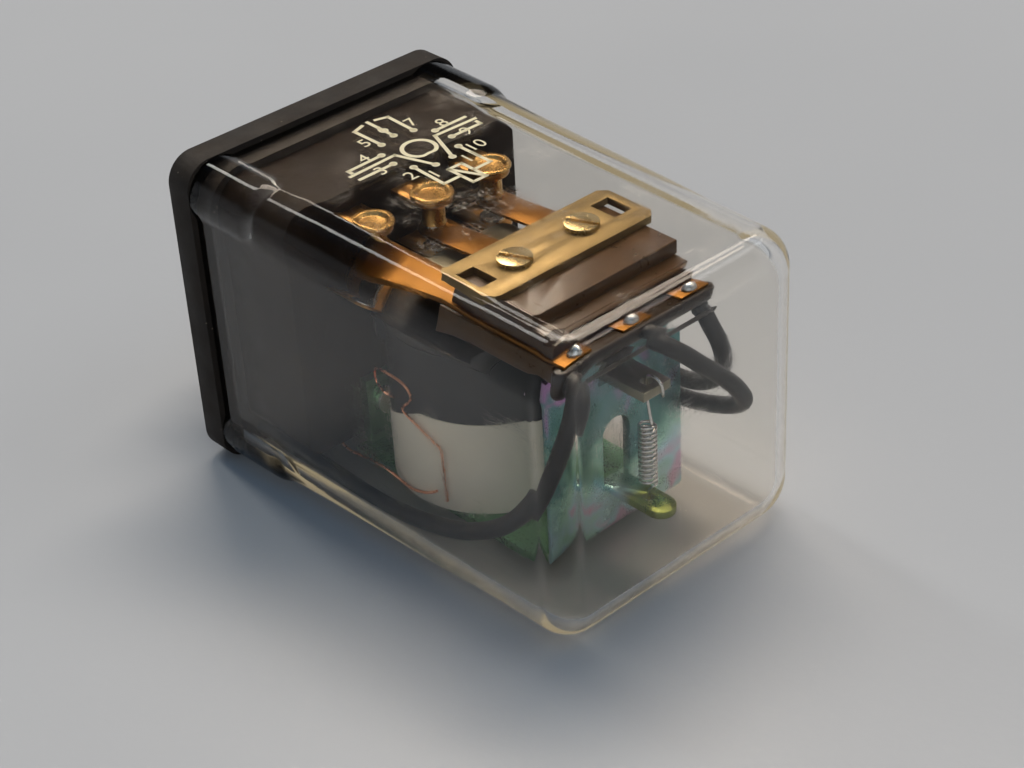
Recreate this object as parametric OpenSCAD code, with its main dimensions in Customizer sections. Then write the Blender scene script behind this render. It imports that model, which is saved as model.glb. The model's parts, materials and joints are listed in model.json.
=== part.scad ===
// Plug-in electromagnetic relay with three changeover contacts, lying on its side.
// X runs along the plug: the pins point to -X and the cover's closed end is at +X.
// The origin is on the plug's axis, in the plane of the base plate's outer face.
// The contacts are on the +Z side, above the coil, whose axis runs along Z.

/* [Base plate] */
// Side of the square base plate
base_w = 35.5; // [34.5:0.1:38]
// Thickness of the base plate
base_t = 3.2; // [2.6:0.1:4.5]
// Radius of the base plate's corners
base_corner_r = 3; // [1.5:0.1:4]
// Height of the rim that the cover slips over
rim_h = 2; // [1.2:0.1:3]

/* [Plug] */
// Diameter of the circle that the pins stand on
pin_circle_d = 19.05; // [18:0.05:21]
// Diameter of one pin
pin_d = 2.36; // [1.8:0.02:2.6]
// Length of the pins beyond the base plate
pin_len = 11.5; // [8:0.1:13]
// How deep each pin is set in the base plate
pin_seat = 2.2; // [1.5:0.1:2.4]
// Number of pins
pin_count = 11; // [8:1:11]
// Diameter of the locating spigot
spigot_d = 9; // [8:0.1:12]
// Length of the locating spigot
spigot_len = 14; // [12:0.1:16]
// Width of the key rib on the spigot
key_w = 1.4; // [1.4:0.1:2.4]
// Height of the key rib above the spigot
key_h = 0.9; // [0.8:0.1:1.4]

/* [Cover] */
// Distance from the seat face to the closed end of the cover
overall_len = 53.5; // [53:0.1:60]
// How far the cover's mouth lies inside the base plate's edge
cover_step = 0.65; // [0.3:0.05:0.9]
// How much each side leans in from the mouth to the closed end
cover_draft = 0.7; // [0.3:0.05:0.9]
// Thickness of the cover's walls
cover_wall = 1.2; // [0.9:0.05:1.4]
// Outer radius of the long corners
cover_corner_r = 2.2; // [1.6:0.1:3]
// Inner radius of the long corners, which leaves them thick
cover_inner_r = 3.6; // [2.8:0.1:4]
// Radius round the closed end
cover_end_r = 3.4; // [2.4:0.1:3.8]
// Length of the raised shoulders at the corners of the mouth
ear_len = 11.3; // [8:0.1:14]
// How far the shoulders stand out from the sides
ear_proud = 0.6; // [0.3:0.05:0.65]

/* [Contact block] */
// Length of the black block that holds the fixed contacts
block_len = 10.2; // [9:0.1:11.4]
// Clearance from the block to the cover
block_gap = 1.1; // [0.8:0.1:1.6]
// Radius of the block's long corners
block_corner_r = 2; // [1:0.1:3]
// Height of the way that is left under the block for the near lead
lead_way = 2.1; // [1.9:0.1:2.6]

/* [Coil] */
// Diameter of the coil, which stands upright between the contacts and the yoke
coil_d = 20.4; // [18:0.1:20.6]
// Thickness of the bobbin's flanges
flange_t = 1.2; // [0.8:0.1:1.5]
// Diameter of the iron core
core_d = 6.4; // [5:0.1:7]
// Wall of the bobbin's tube
tube_wall = 0.9; // [0.6:0.1:1.2]
// Thickness of the black tape round the winding
tape_t = 0.2; // [0.1:0.05:0.3]
// Thickness of the paper label
label_t = 0.15; // [0.1:0.05:0.2]
// Height of the paper label
label_h = 10.8; // [8:0.1:14]

/* [Yoke] */
// Room from the yoke's front plate to the closed end of the cover
front_room = 9.7; // [9.6:0.1:10.8]
// Thickness of the yoke
yoke_t = 1; // [0.8:0.1:1.2]
// Width of the yoke's front plate
yoke_w = 17.9; // [16:0.1:19]
// Room under the yoke to the cover
yoke_room = 0.65; // [0.5:0.05:1]
// Width of the yoke's foot on the contact block
foot_w = 15; // [13:0.1:17]
// Width of the spring tab that is bent out of the yoke
tab_w = 3; // [2.4:0.1:3.6]
// Reach of the spring tab in front of the yoke
tab_reach = 7.3; // [6.5:0.1:7.5]

/* [Armature] */
// Thickness of the armature
armature_t = 1; // [0.8:0.1:1.2]
// Width of the armature
armature_w = 13; // [12:0.1:15]
// Gap between the armature and the core at rest
core_gap = 1.1; // [1.1:0.05:1.3]
// Width of the tongue that carries the spring
tongue_w = 3.6; // [3:0.1:4.4]

/* [Contacts] */
// Distance from one pole to the next
pole_pitch = 7.7; // [7:0.1:8]
// Width of the moving blades
blade_w = 3.7; // [3:0.1:4.4]
// Thickness of the moving blades
blade_t = 0.3; // [0.2:0.05:0.4]
// Gap between the moving and the lower contacts at rest
contact_gap = 1.25; // [1.25:0.05:1.6]
// Diameter of the moving contacts
button_d = 2.2; // [1.8:0.1:2.6]
// Thickness of the moving contacts on each side of the blade
button_t = 0.45; // [0.3:0.05:0.5]
// Thickness of the fixed contact strips
strip_t = 0.5; // [0.4:0.05:0.6]
// Width of the fixed contact strips
strip_w = 4; // [3.4:0.1:4.6]
// Diameter of the rolled heads on the upper contacts
head_d = 4.5; // [4:0.1:5]

/* [Moving stack] */
// Room over the clamp screws to the cover
top_room = 0.95; // [0.6:0.05:1.4]
// Length of the clamp plate along the plug's axis
clamp_len = 7.4; // [6:0.1:8]
// Width of the clamp plate
clamp_w = 22; // [21:0.1:22.6]
// Thickness of the clamp plate
clamp_t = 0.8; // [0.6:0.1:1]
// Distance between the two clamp screws
screw_pitch = 8.7; // [8:0.1:9.2]
// Diameter of the screw heads
screw_head_d = 3.5; // [3:0.1:3.8]
// Thickness of the insulating plate below the blades
lower_ins_t = 1.6; // [1.4:0.1:2]
// Thickness of the spacer on the blades
spacer_t = 1.3; // [1:0.1:1.5]
// Thickness of the insulating plate under the clamp plate
upper_ins_t = 1.5; // [1.2:0.1:1.7]

/* [Spring and leads] */
// Outer diameter of the return spring
spring_d = 1.9; // [1.7:0.1:2.3]
// Diameter of the spring's wire
spring_wire = 0.32; // [0.28:0.02:0.34]
// Number of turns of the spring
spring_turns = 9; // [6:1:9]
// Diameter of the flexible leads
lead_d = 1.8; // [1.4:0.1:1.9]
// Diameter of the coil's wire ends
coil_wire_d = 0.3; // [0.2:0.05:0.4]

/* [Hidden] */
$fn = 48;

// Clearance of a pressed pin or core in its hole
press_clear = 0.03;
// Clearance between pieces that lie close without touching
air = 0.3;
// Diameter of a pin's root inside the base plate
pin_root_d = pin_d - 0.5;
// How deep a pin's full diameter goes into the base plate
pin_step = 0.05;
// Thickness of the slices that a hull joins
slice = 0.02;

// Cover, as half widths measured from the plug's axis
base_half = base_w / 2;
mouth_half = base_half - cover_step;
function cover_half(x) = mouth_half - cover_draft * (x - base_t) / (overall_len - base_t);
function inner_half(x) = cover_half(x) - cover_wall;
rim_gap = 0.1;
rim_half = inner_half(base_t) - rim_gap;
ear_r = cover_corner_r + ear_proud;
ear_axis = mouth_half - cover_corner_r;

// Contact block
block_x0 = base_t + rim_h;
block_x1 = block_x0 + block_len;
block_half = inner_half(block_x1) - block_gap;
block_top = block_half + 0.3;
block_bottom = -block_half + lead_way;

// Lengths of the coil and the armature, set back from the closed end
foot_x1 = block_x1 + yoke_t;
coil_gap = 0.6;
coil_x = foot_x1 + coil_gap + coil_d / 2;
plate_x1 = overall_len - front_room;
plate_x0 = plate_x1 - yoke_t;
clamp_back = 4.2;
clamp_x1 = plate_x1 - clamp_back;
clamp_x0 = clamp_x1 - clamp_len;

// Heights: the coil takes what the stack leaves free inside the cover
screw_head_t = 0.5;
stack_h = armature_t + lower_ins_t + blade_t + spacer_t + upper_ins_t + clamp_t + screw_head_t;
armature_z0 = inner_half(clamp_x1) - top_room - stack_h;
armature_z1 = armature_z0 + armature_t;
yoke_z0 = yoke_room - inner_half(plate_x1);
pole_t = 0.6;
core_z1 = armature_z0 - core_gap;
bobbin_z0 = yoke_z0 + yoke_t;
bobbin_z1 = core_z1 - pole_t;

// Coil
core_bore_d = core_d + 2 * press_clear;
tube_d = core_bore_d + 2 * tube_wall;
pole_rim = 1.3;
pole_d = core_d + 2 * pole_rim;
winding_d = coil_d - 2 * tape_t;
label_d = coil_d + 2 * label_t;
label_top = bobbin_z0 + label_h;
label_cut_x = 1;
tag_w = 1.6;
tag_h = 3;
tag_proud = 0.9;
tag_turns = [216, 238];

// Yoke and its screws
hinge_gap = 0.1;
yoke_z1 = armature_z0 - hinge_gap;
yoke_bend_r = 1.6;
foot_z1 = -6;
yoke_screw_inset = 2.3;
yoke_screw_y = foot_w / 2 - yoke_screw_inset;
yoke_screw_z = -9;
yoke_screw_d = 1.6;
yoke_screw_len = 5;
yoke_head_d = 3;
yoke_head_t = 0.8;
spring_out = 4.2;
spring_x = plate_x1 + spring_out;
tab_rise = 5.1;
tab_t = 0.8;
tab_z1 = bobbin_z0 + tab_rise;
tab_z0 = tab_z1 - tab_t;
tab_slot_w = tab_w + 0.6;
tab_slot_z1 = tab_z1 + tab_reach;
hook_hole_d = spring_wire + 0.84;

// Armature, hinged on the upper edge of the yoke's front plate
armature_over = 0.3;
armature_x0 = coil_x - pole_d / 2 - armature_over;
armature_r = 1.5;
tongue_t = 1;
tongue_drop = 2.65;
tongue_nose = 1.4;
tongue_z1 = armature_z0 - tongue_drop;
tongue_z0 = tongue_z1 - tongue_t;
tongue_x0 = plate_x0 - 1.7;
tongue_x1 = spring_x + tongue_nose;
tongue_slot_gap = 0.6;
residual_d = 3;
residual_t = 0.12;

// Heights in the moving stack
lower_ins_z1 = armature_z1 + lower_ins_t;
blade_z1 = lower_ins_z1 + blade_t;
spacer_z1 = blade_z1 + spacer_t;
upper_ins_z1 = spacer_z1 + upper_ins_t;
clamp_z1 = upper_ins_z1 + clamp_t;

// Lengths in the moving stack
blade_root = clamp_x0 - 0.6;
screw_x = (clamp_x0 + clamp_x1) / 2 + 0.2;
screw_d = 2;
screw_slot_w = 0.55;
screw_slot_t = 0.35;
window_len = 3.3;
window_w = 2.3;
window_edge = 2.2;
clamp_clip = 0.8;
upper_ins_x1 = plate_x1 - 0.2;
spacer_x1 = plate_x1 + 1.2;
bar_gap = 2;
bar_depth = 2.1;
bar_over = 2.7;
bar_x0 = plate_x1 + bar_gap;
bar_x1 = bar_x0 + bar_depth;
bar_h = 2.2;
bar_z1 = lower_ins_z1;
bar_z0 = bar_z1 - bar_h;
bar_mid = (bar_x0 + bar_x1) / 2;
bar_end_r = (bar_x1 - bar_x0) / 2;
bar_half = pole_pitch + bar_over;
blade_tail = bar_x1 - 0.6;
solder_d = 1.6;
solder_back = 0.9;
stack_half = pole_pitch + blade_w / 2 + 0.2;

// Contacts, one above the other at the tips of the blades
strip_reach = 4;
contact_x = block_x1 + strip_reach;
tip_x0 = contact_x - blade_w / 2 + 0.35;
tip_level = 0.6;
tip_drop = 0.9;
tip_z0 = lower_ins_z1 - tip_drop;
tip_z1 = tip_z0 + blade_t;
strip_root = 5;
lower_anvil_h = 0.5;
lower_strip_z1 = tip_z0 - button_t - contact_gap - lower_anvil_h;
lower_strip_z0 = lower_strip_z1 - strip_t;
rest_gap = 0.02;
anvil_z = tip_z1 + button_t + rest_gap;
upper_anvil_h = 2.4;
upper_strip_z0 = anvil_z + upper_anvil_h;
upper_strip_z1 = upper_strip_z0 + strip_t;
head_t = 0.55;
shank_d = 1.4;
anvil_d = 2.6;
rivet_tail_t = 0.3;
poles = [-pole_pitch, 0, pole_pitch];

// Return spring, hooked to the armature's tongue above and to the yoke's tab below
spring_r = (spring_d - spring_wire) / 2;
spring_z0 = tab_z1 + 1.7;
spring_z1 = tongue_z0 - 3.8;
spring_pitch = (spring_z1 - spring_z0) / spring_turns;
spring_steps = 8;
low_hook = 1.5;
high_hook = 2.1;

// Routes of the flexible leads, from the tail bar round to the contact block. The chosen points are
// stretched so that the outermost keeps its room to the cover and the last its room to the block.
lead_z = (bar_z0 + bar_z1) / 2;
lead_y = pole_pitch + 1.5;
middle_lead_y = 0.8;
far_lead_pts = [[-0.6, 9.4, 6.4], [0.2, 9.8, 4.6], [0.1, 10.5, 2.4], [-0.8, 11.1, 0.1],
    [-2.4, 11.5, -1.9], [-4.8, 11.7, -3.2], [-7.8, 11.7, -3.7]];
middle_lead_pts = [[1.2, 1.6, 8.4], [1.9, 3.2, 7], [2.3, 5, 5.2], [2.6, 7, 3.3], [3, 9, 1.1],
    [2.7, 10.6, -1.2], [1.2, 11.6, -3.1], [-1.2, 12.1, -4.6], [-4, 12.1, -5.6], [-7, 11.9, -6.1]];
near_lead_pts = [[0.9, -9.4, 8.9], [1.9, -10.2, 8], [2.3, -11.4, 6.3], [2.1, -12.5, 4],
    [1.3, -13.2, 1.2], [-0.2, -13.5, -2], [-2.4, -13.6, -5], [-5.6, -13.6, -7.9],
    [-10.2, -13.6, -10.6], [-15.4, -13.5, -12.4], [-20.6, -13.5, -13.4], [-25.4, -13.4, -13.9]];
far_lead_end = [11.7, -3.8];
middle_lead_end = [11.8, -6.2];
near_lead_end = [-13.2, -14];
lead_rest_step = 2.5;
lead_room = 1.77;
lead_end_room = 7;
wide = (inner_half(plate_x1) - lead_room) / max([for (p = near_lead_pts) -p[1]]);
run = (bar_x1 - block_x1 - lead_end_room) / max([for (p = near_lead_pts) -p[0]]);

function unit(v) = v / norm(v);
function square_to(v, t) = unit(v - (v * t) * t);
function tangents(p) = [for (i = [0:len(p) - 1])
    unit(p[min(i + 1, len(p) - 1)] - p[max(i - 1, 0)])];
function normals(t, first) = [for (i = 0, n = square_to(first, t[0]); i < len(t);
    i = i + 1, n = square_to(n, t[min(i, len(t) - 1)])) n];
function spline(a, b, c, d, t) = 0.5 * (2 * b + (c - a) * t + (2 * a - 5 * b + 4 * c - d) * t * t
    + (3 * b - a - 3 * c + d) * t * t * t);
function smooth(p, steps) = [for (i = [0:len(p) - 2]) for (k = [0:steps - 1])
    spline(p[max(i - 1, 0)], p[i], p[i + 1], p[min(i + 2, len(p) - 1)], k / steps),
    p[len(p) - 1]];

// A round tube along a list of points, closed at both ends
module tube(points, d, sides, first) {
    t = tangents(points);
    n = normals(t, first);
    rings = len(points);
    verts = [for (i = [0:rings - 1]) let (u = square_to(n[i], t[i]), v = cross(t[i], u))
        for (k = [0:sides - 1]) points[i]
            + d / 2 * (cos(360 * k / sides) * u + sin(360 * k / sides) * v)];
    walls = [for (i = [0:rings - 2]) for (k = [0:sides - 1])
        let (a = i * sides + k, b = i * sides + (k + 1) % sides)
        each [[a, b, b + sides], [a, b + sides, a + sides]]];
    caps = [for (k = [1:sides - 2]) each [[0, k + 1, k],
        [(rings - 1) * sides, (rings - 1) * sides + k, (rings - 1) * sides + k + 1]]];
    polyhedron(points = verts, faces = [for (f = concat(walls, caps)) [f[0], f[2], f[1]]],
        convexity = 6);
}

// A rectangle with round corners, centred on the origin, from its half width and half height
module round_rect(half_w, half_h, r) {
    square([2 * half_w, 2 * (half_h - r)], center = true);
    square([2 * (half_w - r), 2 * half_h], center = true);
    for (x = [-1, 1], y = [-1, 1]) translate([x * (half_w - r), y * (half_h - r)]) circle(r);
}

module round_square(half, r) {
    round_rect(half, half, r);
}

// A plate across the plug's axis, from x0 to x1
module cross_plate(x0, x1, half, r) {
    translate([x0, 0, 0]) rotate([90, 0, 90]) linear_extrude(x1 - x0) round_square(half, r);
}

// A rod along the plug's axis
module x_rod(x0, x1, d, y = 0, z = 0) {
    translate([x0, y, z]) rotate([0, 90, 0]) cylinder(h = x1 - x0, d = d);
}

// A box between two corners
module box(a, b) {
    translate(a) cube(b - a);
}

// A profile drawn in x and z, as wide as w about the plane y = y0
module side_profile(points, w, y0 = 0) {
    translate([0, y0 + w / 2, 0]) rotate([90, 0, 0]) linear_extrude(w) polygon(points);
}

module at_pin(k) {
    rotate([(k + 0.5) * 360 / pin_count, 0, 0]) translate([0, 0, pin_circle_d / 2]) children();
}

module base_plate() {
    color([0.09, 0.08, 0.07]) {
        difference() {
            union() {
                cross_plate(0, base_t, base_half, base_corner_r);
                cross_plate(base_t, block_x0, rim_half, cover_inner_r - rim_gap);
            }
            for (k = [0:pin_count - 1]) at_pin(k) {
                x_rod(-1, pin_seat, pin_root_d + 2 * press_clear);
                x_rod(-1, pin_step, pin_d + 2 * press_clear);
            }
        }
        x_rod(-spigot_len + 1, 0, spigot_d);
        translate([-spigot_len, 0, 0]) rotate([0, 90, 0])
            cylinder(h = 1, d1 = spigot_d - 1.6, d2 = spigot_d);
        box([-spigot_len + 1, -key_w / 2, 0], [0, key_w / 2, spigot_d / 2 + key_h]);
    }
}

module base_pins() {
    color([0.78, 0.76, 0.70]) for (k = [0:pin_count - 1]) at_pin(k) {
        x_rod(-pin_len + pin_d / 2, pin_step, pin_d);
        x_rod(pin_step, pin_seat, pin_root_d);
        translate([-pin_len + pin_d / 2, 0, 0]) sphere(d = pin_d);
    }
}

// The black moulding, slotted for the strips
module contact_block() {
    color([0.07, 0.07, 0.08]) difference() {
        translate([block_x0, 0, (block_bottom + block_top) / 2]) rotate([90, 0, 90])
            linear_extrude(block_len)
            round_rect(block_half, (block_top - block_bottom) / 2, block_corner_r);
        for (y = poles) {
            box([block_x1 - strip_root, y - strip_w / 2, lower_strip_z0],
                [block_x1 + 1, y + strip_w / 2, lower_strip_z1]);
            box([block_x1 - strip_root, y - strip_w / 2, upper_strip_z0],
                [block_x1 + 1, y + strip_w / 2, upper_strip_z1]);
        }
        for (y = [-1, 1]) x_rod(block_x1 - yoke_screw_len - 1, block_x1 + 1,
            yoke_screw_d + 2 * press_clear, y * yoke_screw_y, yoke_screw_z);
    }
}

// Slices of the cover from the mouth to the rounded closed end
module cover_form(x0, half0, x1, half1, corner_r, end_r) {
    steps = 5;
    translate([x0, 0, 0]) rotate([90, 0, 90]) linear_extrude(slice) round_square(half0, corner_r);
    for (k = [0:steps]) {
        turn = 90 * k / steps;
        inset = end_r * (1 - cos(turn));
        translate([x1 - end_r * (1 - sin(turn)) - slice, 0, 0]) rotate([90, 0, 90])
            linear_extrude(slice) round_square(half1 - inset, max(corner_r - inset * 0.6, 1));
    }
}

module cover() {
    color([0.82, 0.84, 0.82, 0.3]) difference() {
        union() {
            hull() cover_form(base_t, mouth_half, overall_len, cover_half(overall_len),
                cover_corner_r, cover_end_r, $fn = 32);
            for (y = [-1, 1], z = [-1, 1]) {
                x_rod(base_t, base_t + ear_len - ear_r, 2 * ear_r, y * ear_axis, z * ear_axis);
                translate([base_t + ear_len - ear_r, y * ear_axis, z * ear_axis]) sphere(ear_r);
            }
        }
        hull() cover_form(base_t - 1, inner_half(base_t - 1), overall_len - cover_wall,
            inner_half(overall_len), cover_inner_r, cover_end_r - cover_wall, $fn = 32);
    }
}

// The iron yoke: a foot on the block, a bottom under the coil and an upright front plate
module yoke() {
    mid_x = (block_x1 + plate_x1) / 2;
    half_len = (plate_x1 - block_x1) / 2;
    color([0.40, 0.52, 0.48]) difference() {
        union() {
            intersection() {
                translate([mid_x, yoke_w / 2, 0]) rotate([90, 0, 0]) linear_extrude(yoke_w) difference() {
                    round_rect(half_len, -yoke_z0, yoke_bend_r);
                    round_rect(half_len - yoke_t, -bobbin_z0, yoke_bend_r - yoke_t);
                }
                union() {
                    box([block_x1, -foot_w / 2, yoke_z0], [foot_x1, foot_w / 2, foot_z1]);
                    box([block_x1, -yoke_w / 2, yoke_z0], [mid_x, yoke_w / 2, bobbin_z0]);
                    box([mid_x, -yoke_w / 2, yoke_z0], [plate_x1, yoke_w / 2, yoke_z1]);
                }
            }
            box([plate_x1 - yoke_t / 2, -tab_w / 2, tab_z0],
                [plate_x1 + tab_reach - tab_w / 2, tab_w / 2, tab_z1]);
            translate([plate_x1 + tab_reach - tab_w / 2, 0, tab_z0])
                cylinder(h = tab_z1 - tab_z0, d = tab_w);
        }
        translate([coil_x, 0, yoke_z0 - 1]) cylinder(h = yoke_t + 2, d = core_d + 2 * press_clear);
        for (y = [-1, 1]) x_rod(block_x1 - 1, foot_x1 + 1, yoke_screw_d + 2 * press_clear,
            y * yoke_screw_y, yoke_screw_z);
        box([plate_x0 - 1, -tongue_w / 2 - air, tongue_z0 - tongue_slot_gap],
            [plate_x1 + 1, tongue_w / 2 + air, tongue_z1 + tongue_slot_gap]);
        box([plate_x0 - 1, -tab_slot_w / 2, tab_z1],
            [plate_x1 + 1, tab_slot_w / 2, tab_slot_z1 - tab_slot_w / 2]);
        x_rod(plate_x0 - 1, plate_x1 + 1, tab_slot_w, 0, tab_slot_z1 - tab_slot_w / 2);
        translate([spring_x, 0, tab_z0 - 1]) cylinder(h = tab_t + 2, d = hook_hole_d);
    }
}

module yoke_screws() {
    color([0.72, 0.70, 0.62]) for (y = [-1, 1]) difference() {
        union() {
            x_rod(block_x1 - yoke_screw_len, foot_x1, yoke_screw_d, y * yoke_screw_y, yoke_screw_z);
            x_rod(foot_x1, foot_x1 + yoke_head_t, yoke_head_d, y * yoke_screw_y, yoke_screw_z);
        }
        box([foot_x1 + yoke_head_t - 0.4, y * yoke_screw_y - 0.25, yoke_screw_z - yoke_head_d],
            [foot_x1 + 2, y * yoke_screw_y + 0.25, yoke_screw_z + yoke_head_d]);
    }
}

// A round piece on the coil's axis
module coil_rod(z0, z1, d) {
    translate([coil_x, 0, z0]) cylinder(h = z1 - z0, d = d);
}

module core() {
    color([0.66, 0.66, 0.64]) {
        coil_rod(yoke_z0, bobbin_z1, core_d);
        coil_rod(bobbin_z1, core_z1, pole_d);
    }
}

module bobbin() {
    color([0.13, 0.11, 0.09]) difference() {
        union() {
            coil_rod(bobbin_z0, bobbin_z0 + flange_t, coil_d);
            coil_rod(bobbin_z0, bobbin_z1, tube_d);
            coil_rod(bobbin_z1 - flange_t, bobbin_z1, coil_d);
        }
        coil_rod(bobbin_z0 - 1, bobbin_z1 + 1, core_bore_d);
    }
}

// A round sleeve between the bobbin's flanges
module coil_layer(d_in, d_out) {
    difference() {
        coil_rod(bobbin_z0 + flange_t, bobbin_z1 - flange_t, d_out);
        coil_rod(bobbin_z0, bobbin_z1, d_in);
    }
}

module winding() {
    color([0.62, 0.32, 0.18]) coil_layer(tube_d, winding_d);
}

module coil_tape() {
    color([0.06, 0.06, 0.07]) coil_layer(winding_d, coil_d);
}

// Paper label round the near half of the coil, cut at a slant towards the contact block
module coil_label() {
    color([0.84, 0.80, 0.68]) difference() {
        coil_rod(bobbin_z0, label_top, label_d);
        coil_rod(bobbin_z0 - 1, label_top + 1, coil_d);
        box([foot_x1, 2, yoke_z0], [plate_x0, coil_d, core_z1]);
        side_profile([[coil_x + label_cut_x, label_top + 1], [coil_x + label_cut_x, label_top],
            [foot_x1, label_top - (coil_x + label_cut_x - foot_x1) / 2], [foot_x1, label_top + 1]],
            2 * coil_d);
    }
}

// Tags that hang from the upper flange, where the winding's ends are soldered
module coil_tags() {
    color([0.75, 0.66, 0.42]) for (turn = tag_turns) translate([coil_x, 0, 0]) rotate([0, 0, turn])
        box([coil_d / 2, -tag_w / 2, bobbin_z1 - tag_h], [coil_d / 2 + tag_proud, tag_w / 2, bobbin_z1]);
}

// Each point of a wire end: its turn round the coil, distance from the label, height over the yoke
upper_wire_pts = [[251, 0, 10.4], [250, 0.9, 11.2], [241, 1.2, 11.6], [247, 1.4, 13.8],
    [262, 1.4, 14.9], [274, 1.3, 14.6], [276, 1, 13], [266, 0.6, 10.8], [273, 0.35, 9.7],
    [286, 0.35, 8.2], [290, 0.35, 7.4], [290.5, 0.35, 5.3], [291.4, 0.35, 1.4]];
lower_wire_pts = [[214, 6.8, block_bottom - coil_wire_d / 2 - bobbin_z0], [217.4, 5.8, 0.3],
    [222, 4.6, 0.2], [229.5, 2.8, 0.6], [247, 1.2, 1.5], [257, 0.5, 1.1], [267, 0.35, 1],
    [278, 0.3, 1.5], [285, 0.3, 2.2]];

// A wire end close to the coil
module coil_wire(route) {
    pts = [for (p = route) let (r = label_d / 2 + p[1])
        [coil_x + r * cos(p[0]), r * sin(p[0]), bobbin_z0 + p[2]]];
    color([0.72, 0.40, 0.26]) tube(smooth(pts, 3), coil_wire_d, 6, [0.2, 1, 0.1]);
}

module coil_wire_upper() {
    coil_wire(upper_wire_pts);
}

module coil_wire_lower() {
    coil_wire(lower_wire_pts);
}

// A fixed contact strip with a round end, drilled for its rivet
module contact_strip(y, z0) {
    color([0.74, 0.58, 0.30]) difference() {
        union() {
            box([block_x1 - strip_root, y - strip_w / 2, z0], [contact_x, y + strip_w / 2, z0 + strip_t]);
            translate([contact_x, y, z0]) cylinder(h = strip_t, d = strip_w);
        }
        translate([contact_x, y, z0 - 1]) cylinder(h = strip_t + 2, d = shank_d + 2 * press_clear);
    }
}

module lower_strip_near() {
    contact_strip(poles[0], lower_strip_z0);
}

module lower_strip_middle() {
    contact_strip(poles[1], lower_strip_z0);
}

module lower_strip_far() {
    contact_strip(poles[2], lower_strip_z0);
}

module upper_strip_near() {
    contact_strip(poles[0], upper_strip_z0);
}

module upper_strip_middle() {
    contact_strip(poles[1], upper_strip_z0);
}

module upper_strip_far() {
    contact_strip(poles[2], upper_strip_z0);
}

// Rivets that the blades come down on when the coil pulls
module lower_contacts() {
    color([0.80, 0.78, 0.72]) for (y = poles) translate([contact_x, y, 0]) {
        translate([0, 0, lower_strip_z0 - rivet_tail_t]) cylinder(h = rivet_tail_t, d = anvil_d - 0.4);
        translate([0, 0, lower_strip_z0]) cylinder(h = strip_t, d = shank_d);
        translate([0, 0, lower_strip_z1])
            cylinder(h = lower_anvil_h, d = anvil_d);
    }
}

// Rivets that the blades rest against: a dished, rolled head above the strip, and a long stem
module upper_contacts() {
    flare = [[0, anvil_z], [anvil_d / 2, anvil_z], [anvil_d / 2 - 0.12, anvil_z + 0.3],
        [anvil_d / 2 - 0.12, upper_strip_z0 - 0.5], [anvil_d / 2 + 0.5, upper_strip_z0],
        [0, upper_strip_z0]];
    dish = [[0, upper_strip_z1], [head_d / 2 - 0.3, upper_strip_z1], [head_d / 2, upper_strip_z1 + 0.25],
        [head_d / 2 - 0.1, upper_strip_z1 + head_t], [head_d / 2 - 0.5, upper_strip_z1 + head_t],
        [head_d / 2 - 0.9, upper_strip_z1 + 0.2], [0, upper_strip_z1 + 0.2]];
    color([0.78, 0.55, 0.30]) for (y = poles) translate([contact_x, y, 0]) {
        rotate_extrude() polygon(flare);
        translate([0, 0, upper_strip_z0 - 0.2]) cylinder(h = strip_t + 0.3, d = shank_d);
        rotate_extrude() polygon(dish);
    }
}

// A flexible lead: square to the bar, the chosen points, then straight back to x = stop
module lead(start, square_out, pts, end, stop, first) {
    last = bar_x1 + pts[len(pts) - 1][0] * run;
    route = [for (p = pts) [bar_x1 + p[0] * (p[0] < 0 ? run : 1), p[1] * wide, p[2] * wide]];
    back = [for (x = [last - lead_rest_step * 2:-lead_rest_step * 2:stop + lead_d * 2])
        [x, end[0] * wide, end[1] * wide]];
    seat = [for (x = [stop + lead_d, stop]) [x, end[0] * wide, end[1] * wide]];
    color([0.10, 0.10, 0.11]) tube(concat([start], smooth(concat([square_out], route), 3),
        back, seat), lead_d, 8, first);
}

// A lead that leaves the bar's front face
module front_lead(y, pts, end, stop) {
    lead([bar_x1, y, lead_z], [bar_x1 + lead_d / 4, y, lead_z], pts, end, stop, [0, 0, 1]);
}

module lead_near() {
    front_lead(-lead_y, near_lead_pts, near_lead_end, block_x0);
}

module lead_middle() {
    front_lead(middle_lead_y, middle_lead_pts, middle_lead_end, block_x1);
}

// This lead leaves the bar's underside
module lead_far() {
    lead([bar_mid, lead_y, bar_z0], [bar_mid, lead_y, bar_z0 - lead_d / 4], far_lead_pts,
        far_lead_end, block_x1, [0, 1, 0]);
}

// The least distance between parts of a wire that are not neighbours along it
function least_gap(p, d, skip) = min([for (i = [0:len(p) - 1 - skip])
    for (j = [i + skip:len(p) - 1]) norm(p[i] - p[j])]) - d;

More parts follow.
